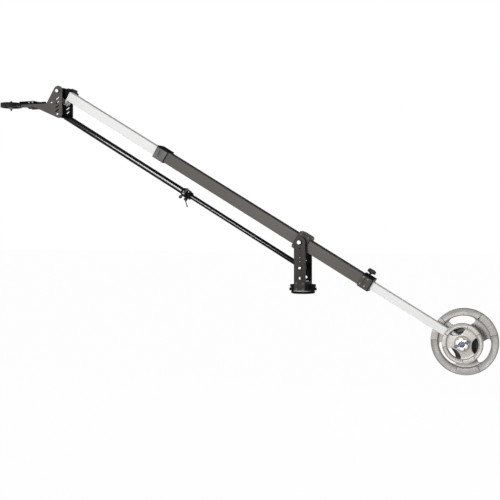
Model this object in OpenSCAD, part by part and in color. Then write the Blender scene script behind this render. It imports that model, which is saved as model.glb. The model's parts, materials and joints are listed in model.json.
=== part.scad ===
// Camera jib crane: a telescoping square arm balanced on a panning post, with a parallel
// rod that keeps the camera platform level and plate weights on a bar at the rear.
// Millimetres, +Z up. The origin is the centre of the base's underside. -X points to the
// camera platform, +X to the weights, and the near side is -Y.

/* [Pose and reach] */
// Angle of the arm above level as it stands, in degrees
arm_angle = 30.6; // [12:0.1:40]
// Height of the main pivot above the underside of the base
pivot_height = 197; // [185:1:230]
// Drop from the arm's pivots to the parallel rod's pivots
link_drop = 98; // [92:1:108]
// Length from the main pivot to the head pivot
front_reach = 1242; // [1150:1:1350]
// Length from the main pivot to the weight bar
rear_reach = 706; // [640:1:780]

/* [Tubes] */
// Outside of the square outer tube
outer_size = 45.5; // [44.5:0.5:47]
// Wall of the outer tube
outer_wall = 1.8; // [1.5:0.1:2.4]
// Length of the outer tube ahead of the main pivot
outer_front = 708; // [680:1:740]
// Length of the outer tube behind the main pivot
outer_rear = 300; // [270:1:330]
// Outside of the square front tube
front_size = 38; // [36:0.5:39]
// Wall of the front tube
front_wall = 2; // [1.5:0.1:3]
// Distance from the main pivot to the front tube's inner end
front_inner_end = 560; // [500:1:600]
// Outside of the square rear tube
rear_size = 30; // [28:0.5:34]
// Wall of the rear tube
rear_wall = 2; // [1.5:0.1:3]
// Distance from the main pivot to the rear tube's inner end
rear_inner_end = 150; // [110:1:190]
// Length of the rear tube past the weight bar
rear_tail = 22; // [18:1:30]
// Corner radius of the square tubes
tube_corner = 2.5; // [1:0.1:4]

/* [Parallel rod] */
// Outside diameter of the front rod
rod_outer_d = 26; // [25:0.5:28]
// Outside diameter of the rear rod
rod_inner_d = 20; // [18:0.5:21]
// Wall of the rear rod
rod_inner_wall = 2; // [1.5:0.1:3]
// Distance from the rear rod pivot to the middle of the rod clamp
rod_clamp_at = 570; // [520:1:600]
// Length of the rear rod inside the front rod
rod_overlap = 150; // [120:1:200]
// Length of the rod clamp
rod_clamp_len = 44; // [40:1:50]
// Outside diameter of the rod clamp
rod_clamp_d = 36; // [35:0.5:40]
// Half width of the rod's eyes
rod_eye_half = 10; // [8:0.5:14]
// Outside diameter of the rod's eyes
rod_eye_d = 26; // [24:0.5:30]
// Distance from a rod pivot to the end of the tube of the rod
rod_eye_reach = 18; // [16:0.5:24]

/* [Base] */
// Radius of the base plate
base_r = 46; // [44:0.5:50]
// Thickness of the base plate
base_t = 9; // [8:0.5:9.5]
// Diameter of the tripod thread in the underside
tripod_d = 9.525; // [6.35:0.001:9.525]
// Depth of the tripod thread
tripod_depth = 14; // [10:0.5:16]
// Radius of the pan spindle
spindle_r = 15; // [13:0.5:17]
// Thickness of the pan bearing ring
bearing_t = 2.8; // [2.5:0.1:3.5]
// Radius of the pan bearing ring
bearing_r = 38; // [34:0.5:41]
// Radius of the turntable's lower, lobed flange
lobe_flange_r = 53; // [50:0.5:56]
// Radius of the turntable's upper flange
top_flange_r = 50; // [48:0.5:53]
// Radius of the groove between the flanges
groove_r = 47; // [44:0.5:47.5]
// Height of the top of the lobed flange
lobe_flange_top = 21; // [19:0.5:22]
// Height of the groove's top
groove_top = 25; // [24:0.5:26]
// Height of the top of the upper flange
top_flange_top = 34; // [32:0.5:36]
// Height of the top of the block between the post plates
block_top = 46; // [44:0.5:47]
// Diameter of the pan bolt's thread
pan_bolt_d = 12; // [10:0.5:14]
// Diameter of the pan washer
pan_washer_d = 44; // [38:1:50]

/* [Post] */
// Gap between the post plates
post_gap = 77; // [75:0.5:84]
// Thickness of a post plate
post_t = 8; // [7:0.5:10]
// Width of a post plate
post_w = 45; // [42:0.5:48]
// Height of the lower end of a post plate
post_foot = 12.5; // [12:0.5:16]
// Diameter of the see-through hole in each post plate
sight_d = 11; // [9:0.5:12]
// Height of the see-through hole
sight_h = 60; // [59:0.5:64]
// Diameter of the small holes in the post plates
peg_hole_d = 4.5; // [3.5:0.1:5]
// Diameter of the main pivot's journal
journal_d = 14; // [12:0.5:16]
// Wall of the pivot bush
bush_wall = 3; // [2.5:0.1:4]
// Diameter of the bright caps on the main pivot
cap_d = 18; // [17:0.5:19.5]
// Length of the bright caps on the main pivot
cap_len = 12; // [10:0.5:15]
// Diameter of the rod pivot pin
rod_pin_d = 10; // [8:0.5:10]

/* [Saddle] */
// Length of the saddle along the arm
saddle_len = 52; // [48:1:60]
// Height of the saddle across the arm
saddle_h = 70; // [66:1:76]
// Thickness of a saddle side plate
saddle_t = 8.1; // [7.5:0.1:9]
// Corner radius of a saddle side plate
saddle_corner = 9; // [4:0.5:12]
// Diameter of the trunnion's flange
trunnion_flange_d = 34; // [30:1:40]
// Diameter of the trunnion's spigot in the saddle plate
spigot_d = 18; // [16:0.5:22]

/* [Collars] */
// Distance from the main pivot to the front collar's front end
front_collar_at = 722; // [715:1:760]
// Length of the front collar
front_collar_len = 54; // [50:1:60]
// Distance from the main pivot to the rear clamp's front end
rear_clamp_at = 268; // [255:1:275]
// Length of the rear clamp
rear_clamp_len = 46; // [44:1:60]
// Wall of the collars' sides
collar_wall = 4.6; // [4.3:0.1:5.5]
// Wall of the collars' bottom
collar_floor = 3.3; // [2.8:0.1:4.5]
// Height of the cap above the tube
cap_rise = 4.3; // [3.8:0.1:6]
// Depth of the cap's lip down the tube's sides
cap_lip = 2.2; // [1:0.1:3]
// Width of the slots in the collars' sides
slot_w = 3; // [2:0.1:4]
// Length of the slots in the collars' sides
slot_len = 27; // [20:0.5:30]
// Distance from the rear clamp's front end to its knob
clamp_knob_at = 19; // [17:0.5:20]
// Diameter of the clamp knob's stem
clamp_stem_d = 8; // [6:0.5:9]
// Radius of the clamp knob over its lobes
clamp_knob_r = 17; // [14:0.5:20]
// Height of the clamp knob's head
clamp_knob_h = 13; // [10:0.5:16]
// Length of stem that shows under the clamp knob
clamp_stem_show = 11; // [9:0.5:14]

/* [Head] */
// Gap between the head plates
head_gap = 76; // [74:0.5:82]
// Thickness of a head plate
head_t = 6; // [5:0.5:8]
// Distance from the head pivot to the head plate's rear edge
head_rear_x = 20; // [19:0.5:22]
// Radius of the head plate round the upper pivot
head_top_r = 21; // [20:0.5:23]
// Radius of the head plate round the lower pivot
head_low_r = 16; // [14:0.5:18]
// Distance from the head pivot to the inner corner of the plate
head_corner_x = 56; // [50:1:60]
// Drop of the top edge of the head plate's arms
arm_top_drop = 50; // [46:0.5:52]
// Drop of the bottom edge of the head plate's arms
arm_low_drop = 61; // [58:0.5:66]
// Distance from the head pivot to the knee in the bottom edge
arm_knee_x = 122; // [112:1:130]
// Distance from the head pivot to the arms' front end
arm_tip_x = 184; // [176:1:188]
// Diameter of the head axle
head_axle_d = 12; // [10:0.5:14]
// Diameter of the head axle's bright end
head_axle_cap_d = 17; // [15:0.5:20]
// Length of the head axle's bright end
head_axle_cap_len = 11; // [8:0.5:14]
// Diameter of the bolt at the lower pivot
low_bolt_d = 6; // [5:0.5:8]
// Length of the tube-end fitting behind the head pivot
head_block_len = 38; // [36:0.5:45]
// Drop of the underside of the fitting's shoe
shoe_drop = 38; // [34:0.5:40]
// Radius of the head lock knob over its lobes
lock_knob_r = 25; // [20:0.5:28]
// Thickness of the head lock knob
lock_knob_t = 20; // [15:0.5:25]
// Distance from the far head plate to the lock knob
lock_knob_out = 20; // [14:0.5:24]

/* [Camera platform] */
// Distance from the head pivot to the middle of the platform
platform_x = 265; // [255:1:275]
// Radius of the platform
platform_r = 46; // [42:0.5:49]
// Height of the platform's rim
platform_h = 18; // [15:0.5:20]
// Thickness of the platform's top
platform_top_t = 5; // [4:0.5:7]
// Drop of the platform's top face below the head pivot
platform_drop = 35; // [33:0.5:37]
// Front end of the deck block, from the head pivot
deck_front_x = 192; // [189:1:200]
// Rear end of the deck block, from the head pivot
deck_rear_x = 119; // [119:1:127]
// Drop of the deck block's top below the head pivot
deck_top_drop = 36; // [34:0.5:38]
// Diameter of the camera thread
camera_thread_d = 9.525; // [6.35:0.001:9.525]
// Length of camera thread above the platform
camera_thread_len = 10; // [7:0.5:14]

/* [Weights] */
// Diameter of the weight bar
bar_d = 20; // [18:0.5:22]
// Radius of the large weight
large_r = 122; // [112:1:135]
// Thickness of the large weight
large_t = 26; // [20:0.5:32]
// Radius of the small weight
small_r = 73; // [66:1:82]
// Thickness of the small weight
small_t = 22; // [18:0.5:28]
// Radius of a star nut over its lobes
nut_r = 24; // [21:0.5:27]
// Thickness of a star nut
nut_t = 14; // [11:0.5:18]
// Length of the cross bar through a star nut
cross_bar_len = 54; // [50:1:64]
// Diameter of the cross bar
cross_bar_d = 9; // [7:0.5:10]

/* [Clearances] */
// Radial clearance of running and sliding fits
fit_gap = 0.05; // [0.02:0.01:0.1]
// Gap round a piece that is bolted or pressed into its seat
seat_gap = 0.1; // [0.05:0.01:0.2]
// Gap between faces that slide or turn past each other
slide_gap = 0.2; // [0.1:0.05:0.3]

/* [Hidden] */

black = "#1c1c1d";
plate_grey = "#645f5c";
tube_grey = "#706c68";
silver = "#e9e9e8";
bright = "#f2f2f2";
iron = "#b0ada8";
nylon = "#d9d6cf";
steel = "#8f9aa6";

head_pivot = [-front_reach * cos(arm_angle), 0, pivot_height + front_reach * sin(arm_angle)];
rod_pivot_h = pivot_height - link_drop;
post_y = post_gap / 2;
post_outer_y = post_y + post_t;
saddle_y = outer_size / 2 + seat_gap;
saddle_outer_y = saddle_y + saddle_t;
head_y = head_gap / 2;
head_outer_y = head_y + head_t;
turntable_z = base_t + bearing_t + slide_gap;
spindle_top = block_top + slide_gap;
bush_d = journal_d + 2 * (fit_gap + bush_wall);
outer_bore = outer_size - 2 * outer_wall;
front_bore = front_size - 2 * front_wall;
rear_bore = rear_size - 2 * rear_wall;
rear_clamp_knob_u = rear_clamp_at + clamp_knob_at;
cap_top = outer_size / 2 + seat_gap + cap_rise;
clamp_side_top = outer_size / 2 - cap_lip;
rod_clamp_front = -rod_clamp_at - rod_clamp_len / 2;
rod_clamp_rear = -rod_clamp_at + rod_clamp_len / 2;
rod_outer_end = -rod_clamp_at + 10;
rod_outer_bore = rod_inner_d + 2 * fit_gap;
wing_u = -rod_clamp_at - 2;
lever_u = -rod_clamp_at + 5;
bar_seat_y = rear_size / 2 + 3;
weight_y = bar_seat_y + slide_gap;
nut_near_y = weight_y + small_t + slide_gap;
nut_far_y = weight_y + large_t + slide_gap;
platform_low = -platform_drop - platform_h;
front_collar_x = [-front_collar_at, -front_collar_at + front_collar_len];
rear_clamp_x = [rear_clamp_at, rear_clamp_at + rear_clamp_len];

// Base and post details
pan_thread_len = 24;
pan_washer_t = 3;
post_screw_x = 13;
post_screw_z = [post_foot + 5, (top_flange_top + block_top) / 2];
post_screw_len = 20;
near_peg_drops = [23.5, 37, 58.5, 72.5];
far_peg_drops = [72.5];
rod_pin_recess = 2.5;

// Saddle details
trunnion_flange_t = 4.6;
stud_d = 8;
cap_closed_t = 3;
saddle_cover_h = saddle_h / 2 - outer_size / 2 - seat_gap - 0.5;
saddle_screw_u = saddle_len / 2 - 9;
saddle_screw_n = outer_size / 2 + seat_gap + saddle_cover_h / 2;
saddle_screw_len = 18;
underside_screw_u = -265;

// Collar details
front_slot_at = 19;
rear_slot_at = 16.5;
cap_screw_inset = 6;
cap_screw_len = 10;
clamp_side_screw_u = 9.8;
clamp_side_screw_n = 14.5;

// Head details
barrel_d = 34;
shoe_x = [18.5, 44];
shoe_screw_x = [24, 36];
shoe_screw_y = 11;
shoe_screw_len = shoe_drop - front_size / 2 + 8;
tie_spot = [-30, -47.5];
web_x = [62, 118];
web_t = 3;
web_lug_x = [[64, 83], [89, 109]];
web_lug_w = 10;
web_lug_h = 5;
web_screw_x = [73.5, 99];

// Deck and platform details
deck_screw_x = [deck_rear_x + 10, arm_tip_x - 10];
deck_screw_z = -(arm_top_drop + arm_low_drop) / 2;
deck_screw_len = 16;
deck_top_screw_x = deck_front_x - 8;
deck_top_screw_y = 14;
deck_top_screw_len = 15;
set_screw_x = [deck_rear_x + 5, deck_rear_x + 22];
set_screw_drop = 6;
set_screw_len = 8;
tongue_rear_x = deck_front_x - 16;
tongue_half = 22;
tongue_top = -platform_drop - platform_top_t - 3;
tongue_root = sqrt(pow(platform_r, 2) - pow(tongue_half, 2)) - 1;

// Rod clamp details
wing_stem_d = 6;
wing_hub_y = rod_clamp_d / 2 + 2;
lever_pin_d = 5;
lever_pin_half = 7;
lever_eye_d = 9;
lever_n = -(rod_clamp_d + lever_eye_d) / 2 - slide_gap;

// Screw sizes: thread diameter, head diameter, head height
m3 = [3, 5.5, 2];
m4 = [4, 7.4, 2.4];
m5 = [5, 9.2, 2.8];

// Main frames: the arm, the parallel rod, the head and the weight bar
module at_arm() {
    translate([0, 0, pivot_height]) rotate([0, arm_angle, 0]) children();
}

module at_rod() {
    translate([0, 0, rod_pivot_h]) rotate([0, arm_angle, 0]) children();
}

module at_head() {
    translate(head_pivot) children();
}

module at_bar() {
    at_arm() translate([rear_reach, 0, 0]) rotate([0, -arm_angle, 0]) children();
}

module near_side() {
    mirror([0, 1, 0]) children();
}

module both_sides() {
    children();
    mirror([0, 1, 0]) children();
}

// Cylinder along Y from y0 to y1
module y_rod(d, y0, y1) {
    translate([0, y1, 0]) rotate([90, 0, 0]) cylinder(d = d, h = y1 - y0, $fn = 64);
}

// Cylinder along X from x0 to x1
module x_rod(d, x0, x1) {
    translate([x0, 0, 0]) rotate([0, 90, 0]) cylinder(d = d, h = x1 - x0, $fn = 64);
}

// Outline in the XZ plane given a thickness along Y, from y0 outwards
module y_plate(y0, t) {
    translate([0, y0 + t, 0]) rotate([90, 0, 0]) linear_extrude(t) children();
}

module rounded_rect(w, h, r) {
    square([w - 2 * r, h], center = true);
    square([w, h - 2 * r], center = true);
    for (sx = [-1, 1], sy = [-1, 1]) {
        translate([sx * (w / 2 - r), sy * (h / 2 - r)]) circle(r = r, $fn = 32);
    }
}

// Square bar with rounded corners along X from x0 to x1
module x_bar(size, corner, x0, x1) {
    translate([x0, 0, 0]) rotate([90, 0, 90])
        linear_extrude(x1 - x0) rounded_rect(size, size, corner);
}

module x_tube(size, bore, x0, x1) {
    difference() {
        x_bar(size, tube_corner, x0, x1);
        x_bar(bore, max(0.6, tube_corner - (size - bore) / 2), x0 - 1, x1 + 1);
    }
}

// Box from x0 to x1, z0 to z1, centred on Y
module xz_box(x0, x1, half_y, z0, z1) {
    translate([x0, -half_y, z0]) cube([x1 - x0, 2 * half_y, z1 - z0]);
}

// Ring of round lobes on a round core
module star_outline(r, lobes, lobe_r, core_r) {
    circle(r = core_r, $fn = 48);
    for (i = [0:lobes - 1]) {
        rotate(i * 360 / lobes) translate([r - lobe_r, 0]) circle(r = lobe_r, $fn = 32);
    }
}

// Countersunk screw along -Z with its head's face at the origin
module flat_screw(size, length) {
    difference() {
        union() {
            translate([0, 0, -length]) cylinder(d = size[0], h = length, $fn = 24);
            translate([0, 0, -size[2]])
                cylinder(d1 = size[0], d2 = size[1], h = size[2], $fn = 32);
        }
        translate([0, 0, -size[2] * 0.6])
            cylinder(d = size[0] * 0.8, h = size[2], $fn = 6);
    }
}

// Hole for a countersunk screw, drawn from the same sizes
module flat_screw_hole(size, length) {
    translate([0, 0, -length - 1])
        cylinder(d = size[0] + 2 * seat_gap, h = length + 2, $fn = 24);
    translate([0, 0, -size[2]]) cylinder(
        d1 = size[0] + 2 * seat_gap,
        d2 = size[1] + 2 * seat_gap,
        h = size[2],
        $fn = 32
    );
    cylinder(d = size[1] + 2 * seat_gap, h = 1, $fn = 32);
}

// Socket head cap screw along -Z with the underside of its head at the origin
module cap_screw(size, length) {
    difference() {
        union() {
            translate([0, 0, -length]) cylinder(d = size[0], h = length, $fn = 24);
            cylinder(d = size[0] * 1.7, h = size[0], $fn = 32);
        }
        translate([0, 0, size[0] * 0.4]) cylinder(d = size[0] * 0.9, h = size[0], $fn = 6);
    }
}

module screw_bore(size, length) {
    translate([0, 0, -length - 1])
        cylinder(d = size[0] + 2 * seat_gap, h = length + 2, $fn = 24);
}

// Turns a screw so that its head faces +Y
module facing_y() {
    rotate([-90, 0, 0]) children();
}

// Base: plate with pan spindle, bearing ring, washer and bolt

module base_plate() {
    chamfer = 2;
    color(black) difference() {
        union() {
            cylinder(r1 = base_r - chamfer, r2 = base_r, h = chamfer, $fn = 96);
            translate([0, 0, chamfer]) cylinder(r = base_r, h = base_t - chamfer, $fn = 96);
            cylinder(r = spindle_r, h = spindle_top, $fn = 64);
        }
        translate([0, 0, -1]) cylinder(d = tripod_d, h = tripod_depth + 1, $fn = 48);
        translate([0, 0, spindle_top - pan_thread_len])
            cylinder(d = pan_bolt_d + 2 * seat_gap, h = pan_thread_len + 1, $fn = 48);
    }
}

module pan_bearing() {
    color(nylon) translate([0, 0, base_t]) difference() {
        cylinder(r = bearing_r, h = bearing_t, $fn = 96);
        translate([0, 0, -1]) cylinder(r = spindle_r + seat_gap, h = bearing_t + 2, $fn = 64);
    }
}

module pan_washer() {
    color(steel) translate([0, 0, spindle_top]) difference() {
        cylinder(d = pan_washer_d, h = pan_washer_t, $fn = 64);
        translate([0, 0, -1])
            cylinder(d = pan_bolt_d + 2 * seat_gap, h = pan_washer_t + 2, $fn = 48);
    }
}

module pan_bolt() {
    head_z = spindle_top + pan_washer_t;
    head_h = 6;
    color(black) difference() {
        union() {
            translate([0, 0, spindle_top - pan_thread_len + 1])
                cylinder(d = pan_bolt_d, h = pan_thread_len + pan_washer_t, $fn = 48);
            translate([0, 0, head_z]) cylinder(d = pan_bolt_d * 1.6, h = head_h, $fn = 48);
        }
        translate([0, 0, head_z + head_h - 4]) cylinder(d = pan_bolt_d * 0.8, h = 5, $fn = 6);
    }
}

// Turntable and post

module post_screw_spots() {
    for (x = [-post_screw_x, post_screw_x], z = post_screw_z) {
        translate([x, post_outer_y, z]) facing_y() children();
    }
}

module turntable() {
    lobes = 12;
    lobe_cut_r = 6;
    color(black) difference() {
        union() {
            translate([0, 0, turntable_z]) linear_extrude(lobe_flange_top - turntable_z)
                difference() {
                    circle(r = lobe_flange_r, $fn = 96);
                    for (i = [0:lobes - 1]) {
                        rotate((i + 0.5) * 360 / lobes)
                            translate([lobe_flange_r + lobe_cut_r * 0.6, 0])
                                circle(r = lobe_cut_r, $fn = 32);
                    }
                }
            translate([0, 0, lobe_flange_top])
                cylinder(r = groove_r, h = groove_top - lobe_flange_top, $fn = 96);
            translate([0, 0, groove_top])
                cylinder(r = top_flange_r, h = top_flange_top - groove_top, $fn = 96);
            translate([-post_w / 2, -post_y, top_flange_top])
                cube([post_w, post_gap, block_top - top_flange_top]);
        }
        both_sides() translate([-lobe_flange_r - 1, post_y, 0])
            cube([2 * lobe_flange_r + 2, lobe_flange_r, block_top + 1]);
        translate([0, 0, turntable_z - 1])
            cylinder(r = spindle_r + fit_gap, h = block_top, $fn = 64);
        both_sides() post_screw_spots() screw_bore(m5, post_screw_len);
    }
}

module post_plate(peg_drops) {
    color(plate_grey) difference() {
        y_plate(post_y, post_t) difference() {
            union() {
                translate([-post_w / 2, post_foot])
                    square([post_w, pivot_height - post_foot]);
                translate([0, pivot_height]) circle(d = post_w, $fn = 64);
            }
            translate([0, pivot_height]) circle(d = bush_d + 2 * seat_gap, $fn = 64);
            translate([0, rod_pivot_h]) circle(d = rod_pin_d + 2 * seat_gap, $fn = 48);
            translate([0, sight_h]) circle(d = sight_d, $fn = 48);
            for (drop = peg_drops) {
                translate([0, pivot_height - drop]) circle(d = peg_hole_d, $fn = 24);
            }
        }
        translate([0, 0, rod_pivot_h])
            y_rod(rod_pin_d + 6, post_outer_y - rod_pin_recess, post_outer_y + 1);
        post_screw_spots() flat_screw_hole(m5, post_screw_len);
    }
}

module post_plate_near() {
    near_side() post_plate(near_peg_drops);
}

module post_plate_far() {
    post_plate(far_peg_drops);
}

module post_screws() {
    color(black) both_sides() post_screw_spots() flat_screw(m5, post_screw_len);
}

module pivot_bushes() {
    flange_y = saddle_outer_y + trunnion_flange_t + slide_gap;
    color("#2b2a28") both_sides() translate([0, 0, pivot_height]) difference() {
        union() {
            y_rod(trunnion_flange_d, flange_y, post_y);
            y_rod(bush_d, post_y - 1, post_outer_y);
        }
        y_rod(journal_d + 2 * fit_gap, flange_y - 1, post_outer_y + 1);
    }
}

module rod_pivot_pin() {
    color(bright) translate([0, 0, rod_pivot_h])
        y_rod(rod_pin_d, -post_outer_y - 1.5, post_outer_y + 1.5);
}

module rod_pivot_spacers() {
    color(black) both_sides() translate([0, 0, rod_pivot_h]) difference() {
        y_rod(rod_pin_d + 7, rod_eye_half + slide_gap, post_y);
        y_rod(rod_pin_d + 2 * seat_gap, rod_eye_half, post_y + 1);
    }
}

// Arm: outer tube, saddle, trunnions and caps

module outer_tube() {
    color(tube_grey) at_arm() difference() {
        x_tube(outer_size, outer_bore, -outer_front, outer_rear);
        translate([rear_clamp_knob_u, 0, 0])
            cylinder(d = clamp_stem_d + 2, h = outer_size, $fn = 32);
        translate([underside_screw_u, 0, -outer_size])
            cylinder(d = m4[0] + 2 * seat_gap, h = outer_size, $fn = 24);
    }
}

module saddle_screw_spots() {
    for (u = [-saddle_screw_u, saddle_screw_u], n = [-saddle_screw_n, saddle_screw_n]) {
        translate([u, saddle_outer_y, n]) facing_y() children();
    }
}

module saddle_plate() {
    color(plate_grey) difference() {
        y_plate(saddle_y, saddle_t) difference() {
            rounded_rect(saddle_len, saddle_h, saddle_corner);
            circle(d = spigot_d + 2 * seat_gap, $fn = 48);
        }
        saddle_screw_spots() flat_screw_hole(m5, saddle_screw_len);
    }
}

module saddle_plate_near() {
    at_arm() near_side() saddle_plate();
}

module saddle_plate_far() {
    at_arm() saddle_plate();
}

module saddle_covers() {
    inner = outer_size / 2 + seat_gap;
    color(black) at_arm() for (side = [-1, 1]) {
        difference() {
            translate([-saddle_len / 2, -saddle_y, side > 0 ? inner : -inner - saddle_cover_h])
                cube([saddle_len, 2 * saddle_y, saddle_cover_h]);
            both_sides() saddle_screw_spots() screw_bore(m5, saddle_screw_len);
        }
    }
}

module saddle_screws() {
    color(black) at_arm() both_sides() saddle_screw_spots() flat_screw(m5, saddle_screw_len);
}

module trunnions() {
    flange_end = saddle_outer_y + trunnion_flange_t;
    color(steel) at_arm() both_sides() {
        y_rod(spigot_d, saddle_y + seat_gap, saddle_outer_y);
        y_rod(trunnion_flange_d, saddle_outer_y, flange_end);
        y_rod(journal_d, flange_end, post_outer_y + slide_gap);
        y_rod(stud_d, post_outer_y, post_outer_y + cap_len - cap_closed_t);
    }
}

module pivot_caps() {
    cap_y = post_outer_y + slide_gap;
    color(bright) at_arm() both_sides() difference() {
        y_rod(cap_d, cap_y, cap_y + cap_len);
        y_rod(stud_d + 2 * seat_gap, cap_y - 1, cap_y + cap_len - cap_closed_t);
    }
}

module underside_screw() {
    color(black) at_arm() translate([underside_screw_u, 0, -outer_size / 2])
        rotate([180, 0, 0]) cap_screw(m4, outer_wall + 0.8);
}

// Front collar and rear clamp

module collar_body(x0, x1, slot_u) {
    half = outer_size / 2 + seat_gap;
    difference() {
        xz_box(x0, x1, half + collar_wall, -half - collar_floor, clamp_side_top);
        xz_box(x0 - 1, x1 + 1, half, -half, half);
        translate([slot_u, 0, 0]) rotate([90, 0, 0]) linear_extrude(outer_size * 2, center = true)
            rounded_rect(slot_w, slot_len, slot_w / 2 - 0.1);
        both_sides() collar_cap_spots(x0, x1) screw_bore(m3, cap_screw_len);
    }
}

module collar_cap(x0, x1) {
    half = outer_size / 2 + seat_gap;
    difference() {
        xz_box(x0, x1, half + collar_wall, clamp_side_top, cap_top);
        xz_box(x0 - 1, x1 + 1, half, 0, half);
        both_sides() collar_cap_spots(x0, x1) flat_screw_hole(m3, cap_screw_len);
    }
}

module collar_cap_spots(x0, x1) {
    for (x = [x0 + cap_screw_inset, x1 - cap_screw_inset]) {
        translate([x, outer_size / 2 + seat_gap + collar_wall / 2, cap_top]) children();
    }
}

module front_collar() {
    color("#969694") at_arm()
        collar_body(front_collar_x[0], front_collar_x[1], front_collar_x[0] + front_slot_at);
}

module front_collar_cap() {
    color(black) at_arm() collar_cap(front_collar_x[0], front_collar_x[1]);
}

module front_bush() {
    color(black) at_arm() difference() {
        x_bar(outer_size, tube_corner, front_collar_x[0], -outer_front);
        x_bar(front_size + 2 * slide_gap, tube_corner, front_collar_x[0] - 1, -outer_front + 1);
    }
}

module rear_clamp_side_spots() {
    for (su = [-1, 1], sn = [-1, 1]) {
        translate([
            rear_clamp_x[0] + rear_slot_at + su * clamp_side_screw_u,
            outer_size / 2 + seat_gap + collar_wall,
            sn * clamp_side_screw_n
        ]) facing_y() children();
    }
}

module rear_clamp() {
    color("#504d48") at_arm() difference() {
        collar_body(rear_clamp_x[0], rear_clamp_x[1], rear_clamp_x[0] + rear_slot_at);
        both_sides() rear_clamp_side_spots() flat_screw_hole(m3, collar_wall);
    }
}

module rear_clamp_cap() {
    color(black) at_arm() difference() {
        collar_cap(rear_clamp_x[0], rear_clamp_x[1]);
        translate([rear_clamp_knob_u, 0, 0])
            cylinder(d = clamp_stem_d + 2 * fit_gap, h = cap_top + 1, $fn = 48);
    }
}

module rear_bush() {
    color(black) at_arm() difference() {
        union() {
            x_bar(outer_bore - 2 * seat_gap, tube_corner, rear_clamp_x[0], outer_rear + 1);
            x_bar(outer_size, tube_corner, outer_rear, rear_clamp_x[1]);
        }
        x_bar(rear_size + 2 * slide_gap, tube_corner, rear_clamp_x[0] - 1, rear_clamp_x[1] + 1);
        translate([rear_clamp_knob_u, 0, 0])
            cylinder(d = clamp_stem_d + 2, h = outer_size, $fn = 32);
    }
}

module collar_cap_screws() {
    color(black) at_arm() both_sides() {
        collar_cap_spots(front_collar_x[0], front_collar_x[1]) flat_screw(m3, cap_screw_len);
        collar_cap_spots(rear_clamp_x[0], rear_clamp_x[1]) flat_screw(m3, cap_screw_len);
    }
}

module rear_clamp_screws() {
    color(silver) at_arm() both_sides() rear_clamp_side_spots() flat_screw(m3, collar_wall);
}

module rear_clamp_knob() {
    tip_n = rear_size / 2 + slide_gap;
    head_n = cap_top + clamp_stem_show;
    color(black) at_arm() translate([rear_clamp_knob_u, 0, 0]) {
        translate([0, 0, tip_n]) cylinder(d = clamp_stem_d, h = head_n - tip_n, $fn = 48);
        translate([0, 0, head_n - 3]) cylinder(d = clamp_stem_d + 5, h = 4, $fn = 48);
        translate([0, 0, head_n])
            linear_extrude(clamp_knob_h) star_outline(clamp_knob_r, 5, 5, 12);
    }
}

// Front section: front tube, its glide plug and the tube-end fitting

module front_tube() {
    color(silver) at_arm()
        x_tube(front_size, front_bore, -front_reach + head_block_len, -front_inner_end);
}

module tube_plug(bore, face_x, into) {
    flange_t = 7;
    spigot_len = 28;
    x_bar(
        outer_bore - 2 * slide_gap,
        tube_corner,
        min(face_x, face_x - into * flange_t),
        max(face_x, face_x - into * flange_t)
    );
    x_bar(
        bore - 2 * seat_gap,
        1,
        min(face_x - into, face_x + into * spigot_len),
        max(face_x - into, face_x + into * spigot_len)
    );
}

module front_tube_plug() {
    color(nylon) at_arm() tube_plug(front_bore, -front_inner_end, -1);
}

module head_block() {
    barrel_half = head_y - slide_gap;
    color(black) at_arm() translate([-front_reach, 0, 0]) difference() {
        union() {
            y_rod(barrel_d, -barrel_half, barrel_half);
            x_bar(front_size, tube_corner, 0, head_block_len);
            x_bar(front_bore - 2 * seat_gap, 1, head_block_len - 1, head_block_len + 50);
        }
        y_rod(head_axle_d + 2 * fit_gap, -head_gap, head_gap);
        shoe_screw_spots() screw_bore(m4, shoe_screw_len);
    }
}

module shoe_screw_spots() {
    for (x = shoe_screw_x, side = [-1, 1]) {
        translate([x, side * shoe_screw_y, -shoe_drop]) rotate([180, 0, 0]) children();
    }
}

module head_shoe() {
    color("#a8a8a6") at_arm() translate([-front_reach, 0, 0]) difference() {
        xz_box(shoe_x[0], shoe_x[1], front_size / 2, -shoe_drop, -front_size / 2);
        shoe_screw_spots() screw_bore(m4, shoe_screw_len);
    }
}

module head_shoe_screws() {
    color(steel) at_arm() translate([-front_reach, 0, 0])
        shoe_screw_spots() cap_screw(m4, shoe_screw_len);
}

// Head: plates, axle, knob and ties

function tangent_point(centre, r, p, turn) =
    let (
        d = norm(p - centre),
        a = atan2(p.y - centre.y, p.x - centre.x) + turn * acos(r / d)
    )
    centre + r * [cos(a), sin(a)];

// The straight edges run a hair inside the rounds, so that they cross them cleanly
module head_blank() {
    hair = 0.03;
    rear = head_rear_x - hair;
    top = [head_rear_x - head_top_r, 1.5];
    low = [head_rear_x - head_low_r, -link_drop];
    corner = [-head_corner_x, -arm_top_drop + 2];
    knee = [-arm_knee_x, -arm_low_drop];
    y_plate(head_y, head_t) translate(top) circle(r = head_top_r, $fn = 64);
    y_plate(head_y, head_t) translate(low) circle(r = head_low_r, $fn = 64);
    y_plate(head_y, head_t) polygon([
        tangent_point(top, head_top_r - hair, corner, -1),
        top,
        [rear, top.y],
        [rear, low.y],
        low,
        tangent_point(low, head_low_r - hair, knee, 1),
        knee,
        [-arm_tip_x, -arm_low_drop],
        [-arm_tip_x, -arm_top_drop],
        [-head_corner_x - 4, -arm_top_drop],
        corner
    ]);
}

module slant_slots() {
    spot = [-4, -30.5];
    pitch = 17.3;
    slot = [20, 6];
    for (i = [0:3]) {
        translate([spot.x, spot.y - i * pitch]) rotate(36)
            rounded_rect(slot.x, slot.y, slot.y / 2 - 0.1);
    }
}

module deck_side_spots() {
    for (x = deck_screw_x) {
        translate([-x, head_outer_y, deck_screw_z]) facing_y() children();
    }
}

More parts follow.
